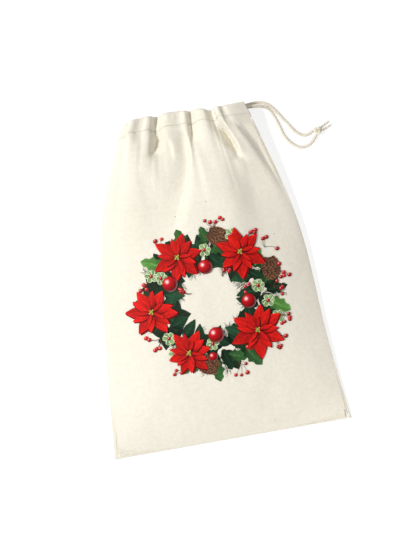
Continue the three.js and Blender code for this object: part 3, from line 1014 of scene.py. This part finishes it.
def hem_loops():
    """The whole hem, from the back's right end round the left fold to the front's right end."""
    back = hem_side(back_grid, back_hem, back_inner_z)
    front = hem_side(front_grid, front_hem, front_inner_z)
    columns = np.concatenate([back[::-1], front[1:]])
    columns[:, Y_TOP] = smoothed(columns[:, Y_TOP])
    loops = np.array([hem_loop(c) for c in columns])
    along = np.concatenate([-fine_columns[::-1], fine_columns[1:]]) / COLUMNS * FRONT_HEM_LENGTH
    flat = np.stack(np.broadcast_arrays(along[:, None], loops[..., 1] * 0.22, loops[..., 2] * 0.2), -1)
    creases = noise_at(flat.reshape(-1, 3), CREASE_SIZE, 3.0).reshape(loops.shape[:2])
    fade = np.sin(np.linspace(0, np.pi, loops.shape[1])) ** 0.8
    loops[..., 2] += creases * fade * (1 - columns[:, TAB])[:, None] * CREASE_DEPTH
    loops[..., 2] = np.maximum(loops[..., 2], HEM_FLOOR)
    return loops, along


def casing(name, loops, along):
    """A stretch of the hem as a piece of canvas. along is each loop's place along the cloth."""
    points = loops.transpose(1, 0, 2)
    b = CLOTH_LENGTH - CASING_DEPTH + np.linspace(0, 2 * CASING_DEPTH, points.shape[0])
    cloth = np.stack(np.broadcast_arrays(along[None, :], b[:, None], 0.0), -1)
    faces = grid_faces(*points.shape[:2])
    obj = mesh_object(name, points.reshape(-1, 3), faces, cloth.reshape(-1, 3))
    return paint(thicken(obj, CANVAS_THICKNESS), CANVAS)


all_loops, all_along = hem_loops()
MIDDLE = len(fine_columns) - 1
BACK_END, FRONT_START = MIDDLE - FOLD_COLUMNS, MIDDLE + FOLD_COLUMNS
back_casing = casing("back_casing_canvas", all_loops[:BACK_END + 1], all_along[:BACK_END + 1])
left_fold = casing(
    "left_fold_canvas", all_loops[BACK_END:FRONT_START + 1], all_along[BACK_END:FRONT_START + 1]
)
front_casing = casing("front_casing_canvas", all_loops[FRONT_START:], all_along[FRONT_START:])

# ---------------------------------------------------------------- the cord in the casing

CASED_Y = 0.1600
CASED_LEFT = -0.0442
FRONT_CASED_Z, BACK_CASED_Z = 0.0131, 0.0031
CASED_STEP, TURN_STEP = 0.0008, 0.0006
CASED_GAP = 0.0004  # what is left free where a cased cord meets the next piece
back_exit, front_exit = back_line[0], front_line[0]


def cased_cord(name, left_z, end):
    """The cord between the left turn and the point where it comes out."""
    y = CASED_Y + (end[1] - CASED_Y) * np.array([0, 0.1, 0.4, 0.8, 0.95])
    x = CASED_LEFT + (end[0] - CASED_LEFT) * np.array([0, 0.25, 0.5, 0.8, 0.95])
    z = left_z + (end[2] - left_z) * np.array([0, 0, 0.05, 0.6, 0.95])
    route = np.concatenate([np.stack([x, y, z], 1), [end - (CASED_GAP, 0, 0)]])
    return rope(name, even_line(route, CASED_STEP))


back_cased = cased_cord("cord_back_cased", BACK_CASED_Z, back_exit)
front_cased = cased_cord("cord_front_cased", FRONT_CASED_Z, front_exit)
half_turn = np.linspace(-np.pi / 2, np.pi / 2, 13)
turn_middle, turn_radius = (FRONT_CASED_Z + BACK_CASED_Z) / 2, (FRONT_CASED_Z - BACK_CASED_Z) / 2
turn_route = [
    (CASED_LEFT - CASED_GAP - turn_radius * np.cos(a), CASED_Y, turn_middle + turn_radius * np.sin(a))
    for a in half_turn
]
left_turn = rope("cord_left_turn", even_line(turn_route, TURN_STEP))

# ---------------------------------------------------------------- seams inside the pouch

SEAM_SECTION = [
    (0.9, 0.0), (1.6, 0.55), (4.0, 0.75), (8.0, 0.70), (9.6, 0.45), (9.9, 0.0),
    (9.6, -0.45), (8.0, -0.70), (4.0, -0.75), (1.6, -0.55),
]


LEFT_INWARD, RIGHT_INWARD, BOTTOM_INWARD = (1, 0, 0.05), (-1, 0, 0.05), (0, 1, 0.12)
SEAM_FLOOR = 0.0012


def seam_strip(name, edge, inward, offset):
    """Both seam allowances, pressed together and lying inwards from the pouch's edge."""
    section = np.array(SEAM_SECTION) * MM
    ring = np.arange(len(edge))
    uneven = noise_at(np.stack([ring * 0.0016, ring * 0, ring * 0], 1), 0.012, offset * 3)
    points = []
    for k, point in enumerate(edge):
        reach = section[:, 0] * (1 + 0.06 * uneven[k])
        lift = section[:, 1] + 0.0003 * uneven[k]
        points.append(point + np.outer(reach, inward) + np.outer(lift, (0, 0, 1)))
    points = np.array(points)
    points[..., 2] = np.maximum(points[..., 2], SEAM_FLOOR)
    faces = ring_faces(len(edge), len(section), flip=True)
    run, width = running_length(edge), running_length(section)
    cloth = np.stack(np.broadcast_arrays(width[None, :] + offset, run[:, None], 0.0), -1)
    # The allowances get the darker canvas, painted shade for the inside of the pouch.
    return paint(mesh_object(name, points.reshape(-1, 3), faces, cloth.reshape(-1, 3)), SHADED_SEAM_CANVAS)


left_edge, right_edge, bottom_edge = front_grid[4:, 0], front_grid[4:-2, -1], front_grid[0, 4:-4]
left_seam = seam_strip("left_seam_allowance", left_edge, LEFT_INWARD, 0.2)
right_seam = seam_strip("right_seam_allowance", right_edge[::-1], RIGHT_INWARD, 0.9)
bottom_seam = seam_strip("bottom_seam_allowance", bottom_edge[::-1], BOTTOM_INWARD, 1.6)

# ---------------------------------------------------------------- stitches

STITCH_LENGTH = 0.0026
STITCH_PITCH = 0.0032
THREAD_RADIUS = 0.00022
# Along a stitch: the share of its length, the share of its thickness and how far it stands out.
STITCH_RINGS = [
    (0.0, 0.35, -0.7), (0.12, 0.85, 0.1), (0.5, 1.0, 0.5), (0.88, 0.85, 0.1), (1.0, 0.35, -0.7),
]
THREAD_SIDES = 7
FIRST_STITCH = 0.001
STITCH_INWARD = 0.0030
STITCH_ROW = 2  # fine rows from the casing's lower edge
TACK_STITCHES = 11
TACK_PITCH, TACK_WIDTH, TACK_SLANT, TACK_LENGTH = 0.0006, 0.0032, 0.0003, 0.0066
TACK_RAILS = (0.0004, 0.0028)
TACK_THREAD, TACK_RAIL_THREAD = 0.00027, 0.00024


def thread_dash(start, end, up, radius):
    """One stitch: a short thread that dips into the cloth at both ends."""
    way = end - start
    side = np.cross(way, up)
    side /= max(np.linalg.norm(side), 1e-12)
    angles = np.arange(THREAD_SIDES) * 2 * np.pi / THREAD_SIDES
    points = [
        start + way * t + up * radius * lift
        + radius * size * (np.outer(np.cos(angles), side) + np.outer(np.sin(angles), up))
        for t, size, lift in STITCH_RINGS
    ]
    return np.concatenate(points), ring_faces(len(points), THREAD_SIDES)


def thread_object(name, dashes):
    """Every stitch of a row as one piece."""
    return paint(mesh_object(name, *joined(thread_dash(*dash) for dash in dashes)), THREAD)


def stitch_row(line, up):
    """Evenly spaced stitches along a line of points, each with its outward direction."""
    run = running_length(line)
    starts = np.arange(FIRST_STITCH, run[-1] - STITCH_LENGTH, STITCH_PITCH)

    def at(distance, values):
        return np.array([np.interp(distance, run, values[:, k]) for k in range(3)])

    dashes = []
    for distance in starts:
        outward = at(distance + STITCH_LENGTH / 2, up)
        outward /= np.linalg.norm(outward)
        start, end = at(distance, line), at(distance + STITCH_LENGTH, line)
        dashes.append((start, end, outward, THREAD_RADIUS))
    return dashes


def bartack(corner, across, along, up):
    """A dense zigzag of thread that stops the slit from tearing."""
    dashes = []
    for k in range(TACK_STITCHES):
        start = corner + along * (TACK_PITCH * k)
        dashes.append((start, start + across * TACK_WIDTH + along * TACK_SLANT, up, TACK_THREAD))
    for width in TACK_RAILS:
        start = corner + across * width
        dashes.append((start, start + along * TACK_LENGTH, up, TACK_RAIL_THREAD))
    return dashes


front_normals, back_normals = grid_normals(front_grid), -grid_normals(back_grid)
sewn = (-STITCH_ROW, slice(3, -2))
front_stitch = thread_object("front_casing_thread", stitch_row(front_grid[sewn], front_normals[sewn]))
back_inside = back_grid[sewn] + (0, 0, CANVAS_THICKNESS)
back_stitch = thread_object("back_casing_thread", stitch_row(back_inside, -back_normals[sewn]))
SEAM_TOP = np.array([0, 0, 0.00085])


def seam_stitches(name, edge, way):
    """The stitches of a seam, a little inwards from the pouch's edge."""
    line = edge + np.array(way) * STITCH_INWARD + SEAM_TOP
    return thread_object(name, stitch_row(line, np.tile((0.0, 0.0, 1.0), (len(edge), 1))))


left_stitch = seam_stitches("left_seam_thread", left_edge, LEFT_INWARD)
right_stitch = seam_stitches("right_seam_thread", right_edge, RIGHT_INWARD)
bottom_stitch = seam_stitches("bottom_seam_thread", bottom_edge, BOTTOM_INWARD)
TACK_COLUMN = -4
ALONG_TACK, ACROSS_TACK = np.array([-1.0, 0, 0]), np.array([0, 1.0, 0])
front_corner = front_grid[-STITCH_ROW, TACK_COLUMN]
back_corner = back_grid[-STITCH_ROW, TACK_COLUMN] + (0, 0, CANVAS_THICKNESS)
front_tack = thread_object("front_tack_thread", bartack(
    front_corner, ACROSS_TACK, ALONG_TACK, front_normals[-STITCH_ROW, TACK_COLUMN]))
back_tack = thread_object("back_tack_thread", bartack(
    back_corner, ACROSS_TACK, ALONG_TACK, np.array([0, 0, 1.0])))

# ---------------------------------------------------------------- the printed wreath

# A plain winter wreath: fir twigs, holly, pale sprigs, cones, five star flowers, baubles and
# berries. Each shape is a thin patch of ink that lies on the front panel. Millimetres here.
WREATH_CENTRE = (3.0, 146.0)
WREATH_RADIUS = 54.0
INK_LIFT = 0.12
INK_LAYER = 0.035
random = np.random.default_rng(20)

RED, DEEP_RED, CHERRY = (0.80, 0.012, 0.008), (0.15, 0.002, 0.003), (0.50, 0.004, 0.008)
LEAF, DARK_LEAF, FRESH_LEAF = (0.035, 0.115, 0.030), (0.014, 0.055, 0.024), (0.10, 0.27, 0.055)
PALE_LEAF, CREAM, FIR = (0.27, 0.42, 0.16), (0.78, 0.84, 0.62), (0.030, 0.062, 0.032)
UNDERGROWTH = (0.014, 0.030, 0.014)
BROWN, TAN, STEM = (0.075, 0.028, 0.014), (0.36, 0.19, 0.10), (0.10, 0.045, 0.03)
POLLEN, GREEN_BUD = (0.62, 0.60, 0.07), (0.20, 0.28, 0.04)
ink_kinds = {}


def add_ink(kind, points, faces, colours, layer):
    """Collects a flat patch. points are (x, y) from the wreath's centre."""
    made = ink_kinds.setdefault(kind, {"points": [], "faces": [], "colours": [], "layers": [], "count": 0})
    made["points"].append(points)
    made["faces"].append(np.asarray(faces) + made["count"])
    made["colours"].append(np.clip(colours, 0, 1))
    made["layers"].append(np.full(len(points), float(layer)))
    made["count"] += len(points)


def turned(points, angle, at):
    c, s = math.cos(angle), math.sin(angle)
    return points @ np.array([[c, s], [-s, c]]) + np.asarray(at, float)


def ring_point(degrees, radius):
    a = math.radians(degrees)
    return np.array([radius * math.cos(a), radius * math.sin(a)])


def blade(kind, at, degrees, length, width, tint, layer, outline, bend=0.0, veins=0, rib=1.5, edge=None):
    """A leaf or petal from its base outwards: outline(t) is its half width from base to tip."""
    rows, columns = max(10, int(length / 1.1)), 8
    t, s = np.meshgrid(np.linspace(0, 1, rows + 1), np.linspace(-1, 1, columns + 1), indexing="ij")
    half = outline(t) * width / 2
    points = np.stack([t * length, s * half + bend * length * t * t], -1).reshape(-1, 2)
    t, s = t.ravel(), s.ravel()
    tint = np.asarray(tint, float)
    shade = 0.45 + 0.72 * t ** 0.8 - 0.24 * (s < 0) + 0.10 * np.sin(6 * t + 3 * s)
    if veins:
        shade = shade - 0.16 * (np.cos(2 * np.pi * (veins * t - 0.9 * np.abs(s))) > 0.72)
    middle = np.exp(-(s / 0.13) ** 2)
    shade = shade * (1 + (rib - 1) * middle * (1 - t))
    colours = tint[None] * shade[:, None]
    if edge is not None:
        rim = smoothstep(np.abs(s), 0.55, 0.9)[:, None]
        colours = colours * (1 - rim) + np.asarray(edge)[None] * rim
    points = turned(points, math.radians(degrees), at)
    add_ink(kind, points, grid_faces(rows + 1, columns + 1), colours, layer)


def petal_outline(t):
    return np.sin(np.pi * t ** 0.82) ** 0.85 * (1 - 0.12 * t) + 0.02


def leaf_outline(t):
    return np.sin(np.pi * t ** 0.75) ** 0.9 + 0.02


def holly_outline(t):
    spikes = np.abs(np.sin(np.pi * 3.5 * t)) ** 1.2
    return (np.sin(np.pi * t ** 0.85) ** 0.7) * (1 - 0.34 * spikes) + 0.02


def disc(kind, at, radius, tint, layer, gloss=0.9, squeeze=1.0, angle=0.0, rings=5, around=16):
    """A ball as it is drawn: lit from the upper left, dark at the lower right, with a glint."""
    r = np.linspace(0, 1, rings + 1)[:, None] * np.ones(around + 1)
    a = np.linspace(0, 2 * np.pi, around + 1)[None, :] * np.ones((rings + 1, 1))
    x, y = r * np.cos(a), r * np.sin(a)
    z = np.sqrt(np.clip(1 - r ** 2, 0, 1))
    lit = np.clip(-0.45 * x + 0.50 * y + 0.74 * z, 0, 1)
    glint = np.exp(-((x + 0.34) ** 2 + (y - 0.36) ** 2) / 0.035) * gloss
    bounce = 0.10 * smoothstep(r, 0.75, 0.95) * np.clip(x - y, 0, 1)
    brightness = 0.22 + 1.05 * lit ** 1.3
    colours = np.asarray(tint)[None, None] * brightness[..., None] + (glint + bounce)[..., None]
    points = np.stack([x.ravel() * radius, y.ravel() * radius * squeeze], 1)
    faces = grid_faces(rings + 1, around + 1, flip=True)
    add_ink(kind, turned(points, angle, at), faces, colours.reshape(-1, 3), layer)


STEM_ROWS = 7


def stem(at, to, width, tint, layer, kind="print_stems"):
    """A thin line that bows to one side and tapers to its tip."""
    at, to = np.asarray(at, float), np.asarray(to, float)
    way = to - at
    side = np.array([-way[1], way[0]]) / np.linalg.norm(way) * width / 2
    steps = np.linspace(0, 1, STEM_ROWS)[:, None]
    bow = side * 6 * np.sin(np.pi * steps)
    middle, half = at + way * steps, side * (1 - 0.6 * steps)
    points = np.stack([middle + half + bow, middle - half + bow], 1).reshape(-1, 2)
    shade = np.tile([1.25, 0.8], STEM_ROWS)[:, None]
    add_ink(kind, points, grid_faces(STEM_ROWS, 2), np.asarray(tint)[None] * shade, layer)


NEEDLE_PITCH = 0.62


def fir_twig(degrees, radius, lean, length, layer):
    """A twig with needles on both sides."""
    needles = length / NEEDLE_PITCH
    base = ring_point(degrees, radius)
    heading = degrees + lean
    tip = base + ring_point(heading, length)
    stem(base, tip, 0.9, STEM, layer)
    for k in range(int(needles)):
        start = base + (tip - base) * (k + 0.5) / needles
        side = 1 if k % 2 else -1
        reach = random.uniform(6.5, 9.5) * (1 - 0.35 * k / needles)
        end = start + ring_point(heading + side * random.uniform(28, 42), reach)
        stem(start, end, 0.42, np.array(FIR) * random.uniform(0.7, 1.9), layer + 1, "print_needles")


# A flower's rings of bracts: how many, their length and width as shares, and their layer.
STAR_RINGS = [(6, 1.0, 0.50, 0), (6, 0.80, 0.42, 6), (5, 0.52, 0.30, 12)]
SHADOW_SHIFT = np.array([0.7, -0.9])
BUDS = 9


def flower(degrees, radius, size, turn, layer):
    """A star flower: two rings of pointed bracts round a cluster of small yellow buds."""
    at = ring_point(degrees, radius)
    for ring, (count, reach, width, lift) in enumerate(STAR_RINGS):
        for k in range(count):
            way = turn + 360 / count * k + ring * 29 + random.uniform(-7, 7)
            long = size * reach * random.uniform(0.90, 1.08)
            tone = np.array(RED) * random.uniform(0.72, 1.12) * (1 - 0.12 * (ring == 0))
            start = at + ring_point(way, 1.2)
            shadow = start + SHADOW_SHIFT
            blade("print_flowers", shadow, way, long, long * width * 1.08, DEEP_RED, layer + lift + k * 0.9,
                  petal_outline, bend=0.03)
            blade("print_flowers", start, way, long, long * width, tone, layer + lift + 0.45 + k * 0.9,
                  petal_outline, bend=random.uniform(-0.08, 0.08), veins=5, rib=1.35)
    for k in range(BUDS):
        spot = at + ring_point(k * 360 / BUDS + 10, 2.3 if k % 2 else 1.0)
        bud = POLLEN if k % 3 else GREEN_BUD
        disc("print_flowers", spot, 0.85, bud, layer + 20, 0.35, rings=3, around=9)


CONE_ROWS = 8


def cone(degrees, radius, turn, length, layer):
    """A fir cone of overlapping scales with pale rims."""
    rows = CONE_ROWS
    at = ring_point(degrees, radius)
    disc("print_cones", at, length * 0.46, np.array(BROWN) * 0.6, layer, 0.0, 0.72, math.radians(turn))
    for row in range(rows):
        along = (row / (rows - 1) - 0.5) * length
        width = length * 0.62 * math.sqrt(max(0.05, 1 - (2 * along / length) ** 2 * 0.86))
        count = 3 + (row % 2) + (1 if 2 < row < 6 else 0)
        for k in range(count):
            across = (k / (count - 1) - 0.5) * width
            spot = at + turned(np.array([[along, across]]), math.radians(turn), (0, 0))[0]
            way = turn + 180 + 50 * across / max(width, 1) * -2
            tone = np.array(BROWN) * random.uniform(1.0, 1.9)
            blade("print_cones", spot, way, length * 0.26, length * 0.25, tone, layer + 1 + row * 0.6,
                  leaf_outline, rib=1.6, edge=np.array(TAN) * random.uniform(0.55, 1.0))


SPRIG_LEAVES = 6


def round_outline(t):
    return np.sqrt(np.clip(1 - (2 * t - 1) ** 2, 0, 1)) * 0.95 + 0.03


def sprig(degrees, radius, size, layer):
    """Small round pale leaves with light edges, and a red berry in the middle."""
    at = ring_point(degrees, radius)
    for k in range(SPRIG_LEAVES):
        way = 360 // SPRIG_LEAVES * k + random.uniform(-12, 12)
        tone = np.array(PALE_LEAF) * random.uniform(0.7, 1.15)
        blade("print_sprigs", at + ring_point(way, 0.6), way, size, size * 0.86, tone, layer + 0.5 * k,
              round_outline, rib=1.8, edge=CREAM)
    disc("print_berries", at, 1.9, CHERRY, layer + 5, rings=4, around=12)


def berries(degrees, radius, count, spread, layer):
    """Berries on thin stems that fan outwards."""
    foot = ring_point(degrees, radius - 9)
    for _ in range(count):
        spot = ring_point(degrees + random.uniform(-spread, spread), radius + random.uniform(-4.5, 4.5))
        stem(foot, spot, 0.5, STEM, layer)
        size = random.uniform(1.7, 2.3)
        tone = np.array(RED) * random.uniform(0.55, 0.95)
        disc("print_berries", spot, size, tone, layer + 1, rings=4, around=12)


# Shapes with a place of their own: degrees round the wreath, and millimetres from its centre.
PLACED_LEAVES = [  # degrees, lean, length
    (134, 20, 27), (108, -8, 24), (84, 15, 20), (352, -30, 27), (166, 25, 24), (262, 12, 27),
    (244, -20, 25), (296, 5, 27), (312, -35, 22), (28, 40, 20),
]
FRESH_LEAVES_AT = (134, 352, 28)
CONES = [(75, 66), (20, 70), (258, 66)]
SPRIGS = [
    (63, 70), (88, 52), (146, 56), (148, 66), (212, 58), (350, 58), (8, 50), (262, 44), (226, 66),
    (337, 70),
]
BERRY_CLUSTERS = [  # degrees, radius, count
    (78, 84, 5), (48, 84, 4), (35, 86, 3), (14, 82, 4), (2, 74, 5), (338, 80, 5), (318, 82, 4),
    (284, 78, 4), (238, 82, 3), (207, 74, 5), (163, 70, 5), (126, 79, 3), (150, 30, 4), (55, 36, 6),
    (195, 62, 4), (10, 40, 3), (300, 62, 3),
]
FLOWERS = [  # degrees, radius, size, turn
    (118, 56, 25, 12), (50, 58, 25, 30), (181, 62, 25, 50), (237, 58, 23, 5), (318, 56, 27, 22),
]
BAUBLES = [(90, 35, 7.4), (148, 45, 7.8), (350, 38, 7.4), (268, 35, 8.0), (262, 57, 4.6)]
CONE_LENGTH, SPRIG_SIZE, BERRY_SPREAD = 19, 6.4, 7
# Higher layers lie on lower ones.
FIR_LAYER, UNDERGROWTH_LAYER, HOLLY_LAYER, DARK_LAYER, PLACED_LAYER = 0, 2, 3, 8, 12
CONE_LAYER, SPRIG_LAYER, BERRY_LAYER, FLOWER_LAYER, BAUBLE_LAYER = 18, 20, 26, 30, 52


def strew_greenery():
    """Fir twigs and leaves all the way round, from the lowest layer up."""
    for degrees in range(0, 360, 15):
        turn = degrees + random.uniform(-5, 5)
        fir_twig(turn, WREATH_RADIUS - 2, random.uniform(-60, 60), 23, FIR_LAYER)
        fir_twig(degrees + 7, WREATH_RADIUS - 10, 180 + random.uniform(-65, 65), 14, FIR_LAYER)
    for degrees in range(0, 360, 8):
        start = ring_point(degrees, WREATH_RADIUS + random.uniform(-8, 2))
        way = degrees + random.uniform(-55, 55) + (180 if degrees % 24 == 0 else 0)
        length, width = random.uniform(19, 25), random.uniform(13, 17)
        blade("print_leaves", start, way, length, width, UNDERGROWTH, UNDERGROWTH_LAYER + degrees / 360,
              leaf_outline, 0.05, 4, 1.6)
    for degrees in range(0, 360, 9):
        outward = random.uniform(-75, 75)
        start = ring_point(degrees + random.uniform(-3, 3), WREATH_RADIUS + random.uniform(-15, 4))
        tone = np.array([DARK_LEAF, LEAF, DARK_LEAF][degrees // 9 % 3]) * random.uniform(0.6, 1.25)
        length, width = random.uniform(17, 25), random.uniform(11, 15)
        blade("print_leaves", start, degrees + outward, length, width, tone, HOLLY_LAYER + degrees / 90,
              holly_outline, random.uniform(-0.1, 0.1), veins=5, rib=2.0)
    for degrees in range(4, 364, 20):
        start = ring_point(degrees, WREATH_RADIUS - 6)
        way = degrees + 180 + random.uniform(-50, 50)
        length = random.uniform(17, 24)
        tone = np.array(DARK_LEAF) * random.uniform(0.8, 1.5)
        blade("print_leaves", start, way, length, 11.0, tone, DARK_LAYER + degrees / 90,
              leaf_outline, 0.05, 5, 1.9)


def place_shapes():
    """The shapes that have a place of their own, from the lowest layer up."""
    for degrees, lean, size in PLACED_LEAVES:
        start = ring_point(degrees, WREATH_RADIUS + 3)
        tone = np.array(FRESH_LEAF if degrees in FRESH_LEAVES_AT else LEAF) * 1.1
        blade("print_leaves", start, degrees + lean, size, size * 0.62, tone, PLACED_LAYER + degrees / 120,
              holly_outline, 0.04, veins=6, rib=1.8)
    for degrees, radius in CONES:
        cone(degrees, radius, degrees + 70, CONE_LENGTH, CONE_LAYER)
    for degrees, radius in SPRIGS:
        sprig(degrees, radius, SPRIG_SIZE, SPRIG_LAYER)
    for degrees, radius, count in BERRY_CLUSTERS:
        berries(degrees, radius, count, BERRY_SPREAD, BERRY_LAYER)
    for degrees, radius, size, turn in FLOWERS:
        flower(degrees, radius, size, turn, FLOWER_LAYER)
    for degrees, radius, size in BAUBLES:
        spot = ring_point(degrees, radius)
        disc("print_baubles", spot, size, CHERRY, BAUBLE_LAYER, 1.0, rings=8, around=24)


def lay_print():
    """Drops every patch onto the front panel and makes one object for each kind of shape."""
    quads = grid_faces(*front_grid.shape[:2])
    cloth = BVHTree.FromPolygons(front_grid.reshape(-1, 3).tolist(), quads.tolist())
    made = []
    for kind, parts in ink_kinds.items():
        flat = (np.concatenate(parts["points"]) + WREATH_CENTRE) * MM - (0, HALF_HEIGHT)
        layers = np.concatenate(parts["layers"])
        points = []
        for (x, y), layer in zip(flat, layers):
            place, normal = cloth.ray_cast(Vector((x, y, 1.0)), Vector((0, 0, -1)))[:2]
            points.append(place + normal * (INK_LIFT + INK_LAYER * layer) * MM)
        place = np.concatenate([flat, np.zeros((len(flat), 1))], 1)
        faces, colours = np.concatenate(parts["faces"]), np.concatenate(parts["colours"])
        made.append(paint(mesh_object(kind, points, faces, place, colours), INK))
    return made


strew_greenery()
place_shapes()
prints = lay_print()

# ---------------------------------------------------------------- bodies, and the model's parts that the pieces replace

# What bends as the mouth opens: the two bodies, and where the bend starts and ends.
MOUTH = ("pouch", "front", (0, 0, 0.0075), (0, 0, 0.0105))
# The front's free run starts in the casing that lifts, so its first stretch bends up with it.
LIFTED_RUN = ("cord", "cord_front", (0.1080, 0, 0), (0.0725, 0, 0))
# Each piece with its slot, the CAD node that it replaces, and its body or the bend it follows.
PIECES = [
    (front_panel, "canvas", "front_panel", MOUTH),
    (back_panel, "canvas", "back_panel", MOUTH),
    (front_casing, "canvas", "front_casing", "front"),
    (back_casing, "canvas", "back_casing", "pouch"),
    (left_fold, "canvas", "left_casing_fold", MOUTH),
    (left_seam, "seam", "left_side_seam", MOUTH),
    (right_seam, "seam", "right_side_seam", MOUTH),
    (bottom_seam, "seam", "bottom_seam", MOUTH),
    (front_stitch, "thread", "front_casing_stitch", MOUTH),
    (back_stitch, "thread", "back_casing_stitch", MOUTH),
    (left_stitch, "thread", "left_side_stitch", MOUTH),
    (right_stitch, "thread", "right_side_stitch", MOUTH),
    (bottom_stitch, "thread", "bottom_stitch", MOUTH),
    (front_tack, "thread", "front_opening_bartack", MOUTH),
    (back_tack, "thread", "back_opening_bartack", MOUTH),
    *((piece, "print", "wreath_print", MOUTH) for piece in prints),
    (back_cased, "cord", "drawcord_back_cased", "cord"),
    (front_cased, "cord", "drawcord_front_cased", "cord_front"),
    (left_turn, "cord", "drawcord_left_turn", "pouch"),
    (back_run, "cord", "drawcord_back_run", "cord"),
    (front_run, "cord", "drawcord_front_run", LIFTED_RUN),
    (knot, "cord", "drawcord_knot", "cord"),
    (upper_tail, "cord", "drawcord_upper_tail", "cord"),
    (lower_tail, "cord", "drawcord_lower_tail", "cord"),
]
for piece, slot, node, moves in PIECES:
    if isinstance(moves, str):
        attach(piece, moves)
    else:
        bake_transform(piece)
    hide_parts(node)
